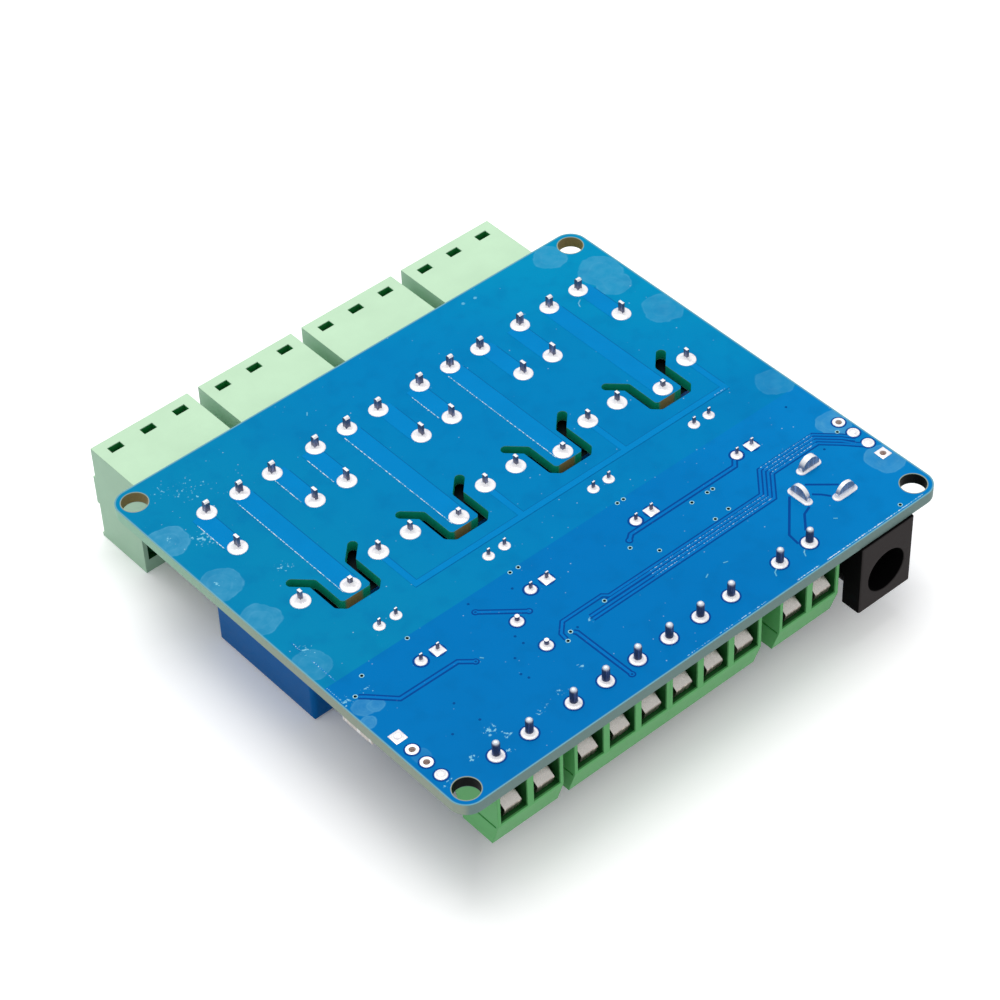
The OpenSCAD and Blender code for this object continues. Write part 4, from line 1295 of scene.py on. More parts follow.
def feet(node: str, above: float | None = None) -> list[Foot]:
    """Finds the separate solids of a CAD node.

    Args:
        node: Name of the CAD node.
        above: Measures only what lies above this height, in millimetres, if given.

    Returns:
        The solids, from left to right.
    """
    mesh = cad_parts[node].data
    spots = [tuple(round(c / MM, 2) for c in vertex.co) for vertex in mesh.vertices]
    home = {spot: spot for spot in spots}

    def root(spot: Point) -> Point:
        """Finds the point that stands for a point's solid.

        Args:
            spot: The point.

        Returns:
            The point that all of the solid's points lead to.
        """
        while home[spot] != spot:
            home[spot] = home[home[spot]]
            spot = home[spot]
        return spot

    for face in mesh.polygons:
        first = root(spots[face.vertices[0]])
        for index in face.vertices[1:]:
            home[root(spots[index])] = first
    solids: dict[Point, list[Point]] = {}
    for spot in home:
        if above is None or spot[2] > above:
            solids.setdefault(root(spot), []).append(spot)
    found = []
    for points in solids.values():
        xs, ys, zs = zip(*points)
        centre = ((min(xs) + max(xs)) / 2, (min(ys) + max(ys)) / 2)
        found.append(Foot(*centre, max(xs) - min(xs), max(ys) - min(ys), min(zs), max(zs)))
    return sorted(found, key=lambda foot: (round(foot.x, 1), foot.y))


def standing(node: str) -> list[Foot]:
    """Finds where a CAD node's pins stand out of the solder side."""
    return feet(node, CLEAR_OF_BOARD)


def dress(nodes: Iterable[str], finish: Finish) -> None:
    """Gives CAD nodes their finish.

    Args:
        nodes: Names of the nodes.
        finish: The finish.
    """
    for name in nodes:
        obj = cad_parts[name]
        obj.data.materials.clear()
        obj.data.materials.append(finish.material())
        log.info("%s: %s", name, finish.name.lower())


def four(*stems: str) -> list[str]:
    """Returns the names of sets of four CAD nodes."""
    return [f"{stem}_{k}" for stem in stems for k in range(1, 5)]


# ---------------------------------------------------------------------------
# Board
# ---------------------------------------------------------------------------


@dataclass(frozen=True)
class WideTrack:
    """One wide track of a channel, from the connector's pins down to a relay's pin.

    Attributes:
        x: Its middle line, from the middle of the channel, in millimetres.
        width: Its width.
        stop: Its lower end, above the relay's pin.
        shade_stop: Lower end of the painted shadow along its right edge, above the relay's pin.
        dust: Upper end of the painted highlight on its left edge, broken up with dust, from the connector's pins, and
            lower end above the relay's pin.
    """

    x: float
    width: float
    stop: float
    shade_stop: float
    dust: Spot


@dataclass
class Board:
    """The circuit board's own detail: tracks, vias, clearances round the pads and the printed outlines, with painted
    shadows and painted highlights along the tracks.

    Attributes:
        skin: Thickness of the masked copper that shows, in millimetres.
        soft: Bevel of the wide tracks.
        wide: Wide tracks of a channel: the middle one, the left one and the right one.
        flecked: How many of them have a painted highlight, broken up with dust, on their left edge, channel by channel.
        edge_glint: Width and thickness of the painted highlight, broken up with dust, on a track's edge.
        shade: Width and thickness of the painted shadow at a track's foot, and how far off the track its middle line
            lies.
        shade_start: How far below the upper pin the painted shadow begins.
        bus_shade: The same three measures as shade, at the coil bus and its stubs.
        bus_shade_height: Thickness of the shade along the bus itself.
        coil_reach: How far above a common pin the coil's pins lie at most.
        coil_shift: How far left of a coil's pin its stub lies.
        bus_y: Middle line of the coil bus.
        bus_width: Width of the coil bus and its stubs.
        stub_share: Thickness of a stub, as a share of the bus's.
        stub_shade_stop: How far above the bus's middle line a stub's shade ends.
        fine: Width of the fine tracks.
        fine_soft: Bevel of the fine tracks.
        clearance: Gap between a track and the pour round it.
        heights: Thickness of the first gap and the first track.
        lane_heights: Thickness of the first lane's gap and of the first lane.
        rise: Step in thickness from one strip to the next, so that no two lie level where they cross.
        lane_rise: The same step for the lanes' gaps.
        fine_paths: Middle lines of the fine tracks in the pour.
        ends: Round ends of the fine tracks.
        end_gap: Outer and inner radius and thickness of the gap round an end.
        end_ring: The same three for the end itself.
        bundle: Middle line of the bundle of four parallel tracks.
        lane_ends: Further corners of its four lanes, at the left end and at the right end.
        bundle_pitch: Pitch of the lanes.
        lane_gap: Gap between two lanes.
        lane_dust: How far off a lane's middle line its dust lies.
        right_dust: Width, base and thickness of the dust on a lane's right part.
        left_dust: The same three on its left part.
        left_dust_x: X at which the dust on the left part begins.
        gap_lines: Single dark gaps at the jack.
        gap_line: Width and thickness of the first of them.
        vias: Open vias.
        via: Outer and inner radius, base and thickness of a via's ring.
        dots: Vias closed by the mask.
        dot: Radius and height of the circles that make a closed via.
        dashes: Pale broken lines, where dust is caught along an edge.
        dash: Width, base and thickness of a broken line.
        dash_reach: Distance from the X axis within which a broken line lies on a wide track.
        near_line: Bright dust along the near edge.
        near_dust: Width, base and thickness of the dust along the near edge.
        flux: Short marks of dried flux.
        mark: Width, base, thickness and bevel of a short mark.
        drops: Round drops of dried flux.
        drop: Radius and height of the circles that make a drop.
        print_z: Height of the printed outlines.
        print_off: How far an outline stands off its part, and the capacitor's circle off the can.
        print_width: Width of a printed line.
    """

    skin: float = 0.035
    soft: float = 0.03
    wide: tuple[WideTrack, ...] = (
        WideTrack(-0.03, 2.66, 0.1, 0.6, (-1.2, -0.3)),
        WideTrack(-6.08, 2.5, 0.0, 0.8, (-1.1, 0.9)),
        WideTrack(5.72, 2.42, 0.0, 0.8, (-1.1, 0.9)),
    )
    flecked: tuple[int, ...] = (3, 2, 2, 0)
    edge_glint: Spot = (0.11, 0.01)
    shade: Point = (0.14, 0.003, 0.05)
    shade_start: float = 1.0
    bus_shade: Point = (0.12, 0.003, 0.04)
    bus_shade_height: float = 0.0025
    coil_reach: float = 8.0
    coil_shift: float = 0.12
    bus_y: float = -2.97
    bus_width: float = 0.86
    stub_share: float = 0.9
    stub_shade_stop: float = 0.5
    fine: float = 0.36
    fine_soft: float = 0.004
    clearance: float = 0.24
    heights: Spot = (0.006, 0.018)
    lane_heights: Spot = (0.01, 0.02)
    rise: float = 0.0005
    lane_rise: float = 0.001
    fine_paths: tuple[Line, ...] = (
        ((-36.15, -12.35), (-35.5, -12.95), (-32.8, -15.85), (-24.2, -15.95), (-22.65, -17.35)),
        ((-17.5, -11.35), (-12.75, -15.5)),
        ((3.9, -14.9), (4.8, -14.25), (22.2, -14.25), (22.95, -13.45)),
        ((-11.15, -21.55), (-10.9, -21.9), (-10.7, -31.1)),
    )
    ends: Line = ((-22.65, -17.35), (-17.5, -11.35), (-12.75, -15.5), (3.9, -14.9), (-10.7, -31.1))
    end_gap: Point = (0.5, 0.05, 0.009)
    end_ring: Point = (0.3, 0.05, 0.021)
    bundle: Line = ((-4.0, -20.8), (21.43, -20.8), (24.3, -17.53), (32.9, -17.53), (35.2, -19.83))
    lane_ends: tuple[tuple[Line, Line], ...] = (
        (((-12.55, -21.85), (-12.4, -20.8), (-11.0, -19.42), (-4.75, -19.42), (-4.1, -20.03)), ((36.5, -20.3),)),
        (((-4.85, -20.45),), ((36.4, -21.0),)),
        (((-8.0, -21.05),), ((36.0, -21.6), (36.5, -22.1))),
        (((-8.06, -21.57),), ((36.5, -22.5),)),
    )
    bundle_pitch: float = 0.51
    lane_gap: float = 0.2
    lane_dust: float = 0.19
    right_dust: Point = (0.12, 0.012, 0.016)
    left_dust: Point = (0.09, 0.012, 0.016)
    left_dust_x: float = 2.0
    gap_lines: tuple[Line, ...] = (
        ((23.33, -22.6), (18.6, -27.3), (18.35, -29.1)),
        ((23.85, -25.5), (22.5, -26.0), (21.5, -27.1), (20.6, -28.1)),
        ((26.17, -22.4), (29.2, -25.2)),
        ((25.6, -24.2), (26.4, -25.0), (27.1, -26.0)),
    )
    gap_line: Spot = (0.32, 0.005)
    vias: Line = (
        (-26.1, -9.1), (-33.8, -10.1), (-36.4, -12.1), (-10.2, -9.2), (-8.9, -9.2), (7.2, -9.2), (8.2, -9.2),
        (3.1, -15.9), (5.4, -18.6), (-5.1, -20.3), (-11.4, -21.3), (-12.6, -22.2), (13.9, -15.3), (16.5, -15.3),
        (17.4, -15.3), (14.0, -19.3), (16.4, -19.1), (35.8, -18.5), (32.1, -32.75),
    )
    via: tuple[float, float, float, float] = (0.31, 0.2, 0.0, 0.03)
    dots: Line = (
        (-17.25, -9.75), (-16.64, -17.44), (-16.64, -18.9), (-18.94, -20.03), (-28.72, -20.58), (-19.78, -23.42),
        (-28.17, -24.47), (-20.1, -22.4), (-31.9, -24.05), (-11.75, -11.36), (32.4, -19.6), (34.4, -10.9),
        (-10.3, -21.3), (-22.65, -17.35), (-10.7, -31.1), (-17.5, -11.35), (-8.06, -21.3),
    )
    dot: Line = ((0.17, 0.0), (0.16, 0.024), (0.08, 0.026))
    dashes: tuple[Line, ...] = (
        ((-36.55, -0.5), (-36.55, -2.2)),
        ((-36.55, -4.3), (-36.55, -8.6)),
        ((-38.0, -8.9), (-38.0, -11.3)),
        ((-4.0, -33.33), (9.0, -33.33)),
        ((29.2, -3.2), (31.2, -3.2)),
    )
    dash: Point = (0.12, 0.001, 0.01)
    dash_reach: float = 4.0
    near_line: tuple[Line, ...] = (((14.0, -33.34), (17.6, -33.34)), ((19.0, -33.34), (35.4, -33.34)))
    near_dust: Point = (0.13, 0.001, 0.012)
    flux: tuple[Line, ...] = (
        ((12.6, -31.2), (12.9, -30.6), (13.5, -30.3)),
        ((17.5, -31.2), (17.8, -30.6), (18.2, -30.3)),
        ((28.5, 21.0), (28.8, 21.7), (29.5, 22.1)),
        ((24.5, -28.9), (24.9, -29.25)),
        ((-10.7, 29.0), (-10.3, 29.5)),
        ((6.3, -25.7), (6.9, -25.4)),
        ((9.5, -25.3), (10.1, -25.5)),
        ((-21.9, -17.2), (-21.6, -17.6)),
    )
    mark: tuple[float, float, float, float] = (0.16, 0.022, 0.008, 0.003)
    drops: Line = ((17.8, 32.0), (19.7, 31.8))
    drop: Line = ((0.24, 0.0), (0.2, 0.02), (0.1, 0.03))
    print_z: float = -1.6
    print_off: Spot = (0.4, 0.3)
    print_width: float = 0.15

    def _shade(self, x: float, top: float, bottom: float, size: Point) -> Shape:
        """Models the painted shadow at the foot of a track's right edge.

        Args:
            x: The track's right edge.
            top: Upper end of the shade.
            bottom: Its lower end.
            size: Its width, its thickness and how far off the edge its middle line lies.

        Returns:
            The shade.
        """
        width, height, off = size
        return strip([(x + off, top), (x + off, bottom)], width, 0.0, height)

    def tracks(self) -> None:
        """Models the wide tracks and the coil bus, the painted shadow at their feet, and the dust and painted highlight
        on their edges.
        """
        strips, beads, shades = [], [], []
        for k, flecked in enumerate(self.flecked, 1):
            centre = standing(f"header_pins_{k}")[1]
            pins = standing(f"relay_pins_{k}")
            common = min(pins, key=lambda pin: pin.y)
            level = common.y + self.coil_reach
            upper = [pin for pin in pins if pin.y > level]
            coil = max((pin for pin in pins if common.y < pin.y < level), key=lambda pin: pin.x)
            for place, track in enumerate(self.wide):
                end = upper[0].y if place else common.y
                x = centre.x + track.x
                strips.append(strip([(x, centre.y), (x, end + track.stop)], track.width, 0.0, self.skin, self.soft))
                # Painted shadow along the track's right edge.
                span = (centre.y - self.shade_start, end + track.shade_stop)
                shades.append(self._shade(x + track.width / 2, *span, self.shade))
                # Painted highlight along the track's left edge, broken up with dust.
                if place < flecked:
                    x -= track.width / 2
                    line = [(x, centre.y + track.dust[0]), (x, end + track.dust[1])]
                    beads.append(strip(line, self.edge_glint[0], self.skin, self.edge_glint[1]))
            x = coil.x - self.coil_shift
            stub = [(x, coil.y), (x, self.bus_y)]
            strips.append(strip(stub, self.bus_width, 0.0, self.skin * self.stub_share, self.soft))
            right = x + self.bus_width / 2
            # Painted shadow along the stub's right edge.
            span = (coil.y - self.shade_start, self.bus_y + self.stub_shade_stop)
            shades.append(self._shade(right, *span, self.bus_shade))
        left = standing("relay_pins_1")[-1].x - self.coil_shift - self.bus_width / 2
        bus = [(left, self.bus_y), (right, self.bus_y)]
        strips.append(strip(bus, self.bus_width, 0.0, self.skin, self.soft))
        beads += [strip(path, *self.near_dust) for path in self.near_line]
        # Painted shadow along both sides of the bus.
        for sign in (-1, 1):
            y = self.bus_y + sign * (self.bus_width / 2 + self.bus_shade[2])
            shades.append(strip([(left, y), (right, y)], self.bus_shade[0], 0.0, self.bus_shade_height))
        piece("wide_tracks", strips, Finish.WIDE_TRACK)
        # The painted shadows, and the painted highlights broken up with dust.
        piece("track_feet", shades, Finish.SHADE)
        piece("track_edges", beads, Finish.GLINT_AND_DUST)
        width, base, height = self.dash
        dashes = []
        for path in self.dashes:
            on_track = abs(path[0][1]) <= self.dash_reach
            dashes.append(strip(path, width, self.skin if on_track else base, height))
        piece("edge_dust", dashes, Finish.LANES)

    def _offset(self, path: Sequence[Spot], shift: float) -> list[Spot]:
        """Moves a path sideways, with mitred bends.

        Args:
            path: Its corners.
            shift: Distance to its left.

        Returns:
            The moved corners.
        """
        sides = []
        for start, end in zip(path, path[1:]):
            along = (Vector(end) - Vector(start)).normalized()
            sides.append(Vector((-along.y, along.x)))
        moved = []
        for k, corner in enumerate(path):
            before, after = sides[max(0, k - 1)], sides[min(k, len(sides) - 1)]
            mitre = (before + after).normalized()
            spot = Vector(corner) + mitre * (shift / max(0.3, mitre.dot(after)))
            moved.append((spot.x, spot.y))
        return moved

    def fine_tracks(self) -> None:
        """Models the fine tracks and the dark gaps that part them from the pour, each at its own height."""
        gaps, tracks, beads = [], [], []
        low, high = self.heights
        for k, path in enumerate(self.fine_paths):
            gaps.append(strip(path, self.fine + 2 * self.clearance, 0, low + self.rise * k))
            tracks.append(strip(path, self.fine, 0, high + self.rise * k, self.fine_soft))
        for shapes, (outer, inner, height) in ((gaps, self.end_gap), (tracks, self.end_ring)):
            shapes += copies(ring(outer, inner, 0, height, 24), self.ends)
        width = self.bundle_pitch - self.lane_gap
        low, high = self.lane_heights
        for k, (left, right) in enumerate(self.lane_ends):
            shift = (1.5 - k) * self.bundle_pitch
            path = [*left, *self._offset(self.bundle, shift)[1:], *right]
            gaps.append(strip(path, width + 2 * self.lane_gap, 0, low + self.lane_rise * k))
            tracks.append(strip(path, width, 0, high + self.rise * k, self.fine_soft))
            edge = self._offset(self.bundle, shift + self.lane_dust)
            middle = [(edge[2][0] + 0.3, edge[2][1]), (edge[3][0] - 0.2, edge[3][1])]
            beads.append(strip(middle, *self.right_dust))
            if k:
                beads.append(strip([(self.left_dust_x, edge[1][1]), edge[1]], *self.left_dust))
        for k, path in enumerate(self.gap_lines):
            gaps.append(strip(path, self.gap_line[0], 0, self.gap_line[1] + self.rise * k))
        piece("track_gaps", gaps, Finish.GAP)
        piece("fine_tracks", tracks, Finish.TRACK)
        piece("bundle_edges", beads, Finish.LANES)

    def rings(self) -> None:
        """Models the rings of the vias, the closed vias and the marks of dried flux."""
        piece("via_rings", copies(ring(*self.via, 20), self.vias), Finish.VIA)
        piece("closed_vias", copies(turned(self.dot, 16), self.dots), Finish.DOT)
        marks = [strip(path, *self.mark) for path in self.flux]
        marks += copies(turned(self.drop, 14), self.drops)
        piece("flux_marks", marks, Finish.FLUX)

    def _outline(self, foot: Foot) -> list[Shape]:
        """Prints the outline of a part on the parts side.

        Args:
            foot: The part.

        Returns:
            The four sides.
        """
        half = (foot.width / 2 + self.print_off[0], foot.depth / 2 + self.print_off[0])
        x0, y0, x1, y1 = foot.x - half[0], foot.y - half[1], foot.x + half[0], foot.y + half[1]
        sides = [[(x0, y0), (x1, y0)], [(x1, y0), (x1, y1)], [(x1, y1), (x0, y1)], [(x0, y1), (x0, y0)]]
        lines = []
        for k, side in enumerate(sides):
            height = 0.01 + 0.001 * k
            lines.append(strip(side, self.print_width, self.print_z - height, height))
        return lines

    def print_outlines(self) -> None:
        """Prints the outlines of the parts that stand clear of each other."""
        lines: list[Shape] = []
        for name in ("logic_chips", "drive_transistors", "flyback_diodes", "resistors", "indicator_leds"):
            for foot in feet(name):
                lines += self._outline(foot)
        can = feet("capacitor_can")[0]
        inner = can.width / 2 + self.print_off[1]
        lines += copies(ring(inner + self.print_width, inner, self.print_z - 0.01, 0.01, 48), [(can.x, can.y)])
        piece("printed_outlines", lines, Finish.INK)

    def build(self) -> None:
        """Gives the board its mask and builds its detail."""
        dress(["circuit_board"], Finish.MASK)
        self.tracks()
        self.fine_tracks()
        self.rings()
        self.print_outlines()


@dataclass
class SolderWork:
    """Every solder joint of the board, with its pad.

    Attributes:
        pad: Radius of the big pads, in millimetres.
        terminal_pad: Radius of the pads at the screw terminals.
        small_pad: Radius of the optocouplers' pads.
        can_pad: Radius of the capacitor's pads.
        spare_pad: Radius of the spare holes' pads, and of their plated holes.
        spare_hole: Radius of the spare holes as they are drilled.
        tab_pad: Half the width of the pads at the jack, and half their straight length.
        height: Height of a big joint.
        terminal_height: Height of a terminal's joint, as a share of that.
        small_height: Height of the other joints, as a share of that.
        fill_height: Height of the solder that fills a spare hole.
        open_spots: Round spare pads left open.
        filled_spots: Round spare pads filled with solder.
        square_open: Square spare pad left open.
        square_filled: Square spare pad filled with solder.
        square: Half the side of the filled and of the open square pad.
        plate: Thickness and bevel of a square pad.
        rim: How far the gap round a pad reaches out of it, and in under it, and the gap's thickness.
        fit: Play between a barrel and its hole, and between a barrel and its pad.
        barrel: Lower end of a barrel, and its length.
    """

    pad: float = 1.3
    terminal_pad: float = 1.04
    small_pad: float = 0.77
    can_pad: float = 0.85
    spare_pad: Spot = (0.8, 0.42)
    spare_hole: float = 0.5
    tab_pad: Spot = (0.68, 1.24)
    height: float = 0.5
    terminal_height: float = 0.6
    small_height: float = 0.55
    fill_height: float = 0.16
    open_spots: Line = ((37.17, -17.39), (-36.78, -22.73), (-36.78, -25.27))
    filled_spots: Line = ((37.17, -19.93), (37.17, -22.47), (-36.78, -27.81))
    square_open: Spot = (37.17, -25.01)
    square_filled: Spot = (-36.78, -20.19)
    square: Spot = (0.84, 0.8)
    plate: Spot = (0.06, 0.025)
    rim: Point = (0.22, 0.1, 0.004)
    fit: float = 0.002
    barrel: Spot = (-1.6, 1.62)

    def _joint(self, pad: float, pin: float, height: float) -> Shape:
        """Models one joint round the origin.

        Args:
            pad: Radius of its pad.
            pin: Radius at its top.
            height: Height of its top.

        Returns:
            The joint.
        """
        span = pad - pin
        profile = [(pad, 0.0), (pad * 0.99, 0.05)]
        for out, up in ((0.9, 0.02), (0.66, 0.1), (0.38, 0.28), (0.14, 0.6), (0.0, 1.0)):
            profile.append((pin + out * span, 0.09 + up * height))
        return turned(profile, 28)

    def _square(self, spot: Spot, half: float, hole: float = 0.0) -> Shape:
        """Models a square pad.

        Args:
            spot: Its centre.
            half: Half its side.
            hole: Radius of its hole, or 0.

        Returns:
            The pad.
        """
        height, soft = self.plate
        plate = slab((2 * half, 2 * half, height), (*spot, height / 2), soft)
        if hole:
            choose()
            bpy.ops.mesh.primitive_cylinder_add(vertices=24, radius=hole, depth=1, location=(*spot, 0))
            drill = settle(bpy.context.object)
            apply_modifier(plate, "BOOLEAN", object=drill, operation="DIFFERENCE", solver="EXACT")
            bpy.data.objects.remove(drill)
        return plate

    def _tabs(self) -> list[Shape]:
        """Models the long joints at the jack's three tabs.

        Returns:
            The joints.
        """
        parts: list[Shape] = []
        for tab in standing("jack_centre_pin") + standing("jack_contacts"):
            joint = self._joint(self.tab_pad[0], 0.25, self.height)
            for sign in (-1, 1):
                with Editing(joint) as edit:
                    edit.points(lambda co, sign=sign: co.x * sign > 0.001)
                    bpy.ops.transform.translate(value=(sign * self.tab_pad[1], 0, 0))
            parts += copies(joint, [(tab.x, tab.y)], 0 if tab.width > tab.depth else 90)
        return parts

    def build(self) -> None:
        """Builds the joints, which stand for the CAD's solder, the spare holes' barrels and the gaps round the pads."""
        channels = range(1, 5)
        big = [pin for k in channels for stem in ("relay_pins", "header_pins") for pin in standing(f"{stem}_{k}")]
        blocks = [(pin.x, pin.y) for node in four("terminal_contacts") for pin in standing(node)]
        leads = standing("optocoupler_leads")
        middle = sum(lead.y for lead in leads) / len(leads)
        far = [(lead.x, lead.y) for lead in leads if lead.y > middle]
        near = sorted((lead.x, lead.y) for lead in leads if lead.y < middle)
        cans = [(lead.x, lead.y) for lead in standing("capacitor_leads")]
        low = self.small_height * self.height
        spare, bore = self.spare_pad
        parts = copies(self._joint(self.pad, 0.3, self.height), [(pin.x, pin.y) for pin in big])
        parts += copies(self._joint(self.terminal_pad, 0.5, self.terminal_height * self.height), blocks)
        parts += copies(self._joint(self.small_pad, 0.2, low), far + near)
        parts += copies(self._joint(self.can_pad, 0.3, low), cans)
        parts += [self._square(spot, self.small_pad) for spot in near[1::2]]
        parts += self._tabs()
        parts += copies(self._joint(spare, 0.4, self.fill_height), self.filled_spots)
        parts += copies(self._joint(spare - 0.05, 0.4, self.fill_height), [self.square_filled])
        parts += copies(ring(spare, bore, 0, self.plate[0]), self.open_spots)
        parts.append(self._square(self.square_filled, self.square[0]))
        parts.append(self._square(self.square_open, self.square[1], bore))
        piece("solder", parts, Finish.SOLDER, ["solder_joints"], 50)
        barrel = ring(self.spare_hole - self.fit, bore + self.fit, *self.barrel, 24)
        piece("spare_barrels", copies(barrel, [*self.open_spots, self.square_open]), Finish.BARREL)
        rims: list[Shape] = []
        for spots, radius in (
            (blocks, self.terminal_pad),
            (near, self.small_pad + 0.05),
            (cans, self.can_pad),
            ([*self.open_spots, *self.filled_spots], spare),
        ):
            rims += copies(ring(radius + self.rim[0], radius - self.rim[1], 0, self.rim[2]), spots)
        piece("pad_clearances", rims, Finish.GAP)


# ---------------------------------------------------------------------------
# Parts side
# ---------------------------------------------------------------------------


@dataclass(frozen=True)
class Relays:
    """The four sealed relays."""

    def build(self) -> None:
        """Gives the casings and the pins their finish."""
        dress(four("relay"), Finish.RELAY)
        dress(four("relay_pins"), Finish.TIN)


@dataclass(frozen=True)
class PlugConnectors:
    """The four plugs, with the headers that they are pushed into."""

    def build(self) -> None:
        """Gives the mouldings, the contacts and the clamps their finish."""
        dress(four("plug_body"), Finish.PLUG)
        dress(four("plug_header"), Finish.HEADER)
        dress(four("header_pins", "plug_contacts"), Finish.TIN)
        dress([*four("plug_cages"), "plug_screws"], Finish.ZINC)


@dataclass(frozen=True)
class ScrewTerminals:
    """The four screw terminal blocks."""

    def build(self) -> None:
        """Gives the mouldings and the clamps their finish."""
        dress(four("terminal_block"), Finish.TERMINAL)
        dress(four("terminal_contacts"), Finish.POST)
        dress(["terminal_screws"], Finish.ZINC)
        dress(["terminal_leaves"], Finish.LEAF)


@dataclass(frozen=True)
class PowerJack:
    """The barrel power jack."""

    def build(self) -> None:
        """Gives the moulding and the contacts their finish."""
        dress(["jack_body"], Finish.JACK)
        dress(["jack_centre_pin", "jack_contacts"], Finish.SPRING)


@dataclass
class SmallParts:
    """The optocouplers, the capacitor and the small parts, with their solder, end caps and pin marks.

    Attributes:
        face: Height of the parts side of the board, in millimetres.
        cap: Length of a resistor's end caps.
        proud: How far a cap stands out of its resistor.
        fillet: Width of the solder at a part's end, how far it runs out from there, and its height there.
        foot_pad: How far a lead's pad reaches past its foot.
        pad_in: How far the pad reaches in under the foot.
        pad_spare: How much wider than the foot the pad is.
        pad_height: Height of the pad.
        lip: Size of the regulator tab's outer edge along X, Y and Z.
        lip_centre: Middle of that edge along X and Y.
        dimple: Outer and inner radius of a pin mark, its height, and how far it stands out.
        chip_mark: Place of the mark on a chip, from the chip's corner.
        coupler_mark: Place of the mark on an optocoupler, from its corner.
    """

    face: float = -1.6
    cap: float = 0.42
    proud: float = 0.015
    fillet: Point = (1.3, 0.45, 0.34)
    foot_pad: float = 0.3
    pad_in: float = 0.6
    pad_spare: float = 0.16
    pad_height: float = 0.07
    lip: Point = (0.84, 5.4, 0.6)
    lip_centre: Spot = (-38.07, -14.85)
    dimple: tuple[float, float, float, float] = (0.32, 0.2, 0.02, 0.012)
    chip_mark: Spot = (0.8, 0.9)
    coupler_mark: Spot = (0.9, 1.0)

    def _fillet(self) -> Shape:
        """Models a solder fillet that rises towards the origin from its right.

        Returns:
            The fillet.
        """
        width, run, rise = self.fillet
        wedge = slab((run, width, rise), (run / 2, 0, self.face - rise / 2), 0.04)
        with Editing(wedge) as edit:
            edit.points(lambda co: co.x > run / 2 and co.z < self.face - rise / 2)
            bpy.ops.transform.translate(value=(0, 0, rise * 0.85))
        return wedge

    def caps(self) -> None:
        """Models the tinned end caps of the resistors."""
        parts: list[Shape] = []
        for foot in feet("resistors"):
            size = (self.cap, foot.depth + 2 * self.proud, foot.high - foot.low)
            for sign in (-1, 1):
                x = foot.x + sign * (foot.width / 2 - self.cap / 2 + self.proud)
                parts.append(slab(size, (x, foot.y, (foot.high + foot.low) / 2 - self.proud)))
        piece("resistor_caps", parts, Finish.TAB)

    def tab(self) -> None:
        """Models the straight outer edge of the regulator's tab."""
        lip = slab(self.lip, (*self.lip_centre, self.face - self.lip[2] / 2), 0.04)
        piece("tab_edge", [lip], Finish.TAB)

    def solder(self) -> None:
        """Models the solder at the ends of the small parts and under the feet of their leads."""
        parts: list[Shape] = []
        chips = feet("resistors") + feet("indicator_leds")
        for sign, turn in ((-1, 180), (1, 0)):
            ends = [(foot.x + sign * foot.width / 2, foot.y) for foot in chips]
            parts += copies(self._fillet(), ends, turn)
        bodies = [foot for name in ("logic_chips", "drive_transistors", "flyback_diodes") for foot in feet(name)]
        long, shift = self.foot_pad + self.pad_in, (self.foot_pad - self.pad_in) / 2
        for lead in feet("small_part_leads"):
            body = min(bodies, key=lead.gap)
            x, y = lead.x, lead.y
            if abs(x - body.x) > body.width / 2:
                x += (1 if x > body.x else -1) * (lead.width / 2 + shift)
                size = (long, lead.depth + self.pad_spare, self.pad_height)
            else:
                y += (1 if y > body.y else -1) * (lead.depth / 2 + shift)
                size = (lead.width + self.pad_spare, long, self.pad_height)
            parts.append(slab(size, (x, y, self.face - self.pad_height / 2), 0.03))
        piece("small_part_solder", parts, Finish.SOLDER)

    def marks(self) -> None:
        """Models the round dimples that mark the first pins."""
        outer, inner, height, proud = self.dimple
        spots: list[Point] = []
        for foot in feet("logic_chips"):
            left, near = foot.x - foot.width / 2, foot.y - foot.depth / 2
            spots.append((left + self.chip_mark[0], near + self.chip_mark[1], foot.low - proud))
        for name in four("optocoupler"):
            low, high = (Vector(corner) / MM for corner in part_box(name))
            spots.append((low.x + self.coupler_mark[0], high.y - self.coupler_mark[1], low.z - proud))
        piece("pin_marks", copies(ring(outer, inner, 0, height, 24), spots), Finish.EPOXY)

    def build(self) -> None:
        """Gives the small parts their finish and builds their detail."""
        dress([*four("optocoupler"), "regulator_body", "logic_chips"], Finish.EPOXY)
        dress(["drive_transistors", "flyback_diodes"], Finish.EPOXY)
        dress(["optocoupler_leads", "capacitor_leads", "small_part_leads"], Finish.TIN)
        dress(["regulator_tab"], Finish.TAB)
        dress(["capacitor_can"], Finish.SLEEVE)
        dress(["capacitor_bung"], Finish.RUBBER)
        dress(["indicator_leds"], Finish.LENS)
        dress(["resistors"], Finish.CHIP)
        self.caps()
        self.tab()
        self.solder()
        self.marks()


# ---------------------------------------------------------------------------
# Studio
# ---------------------------------------------------------------------------


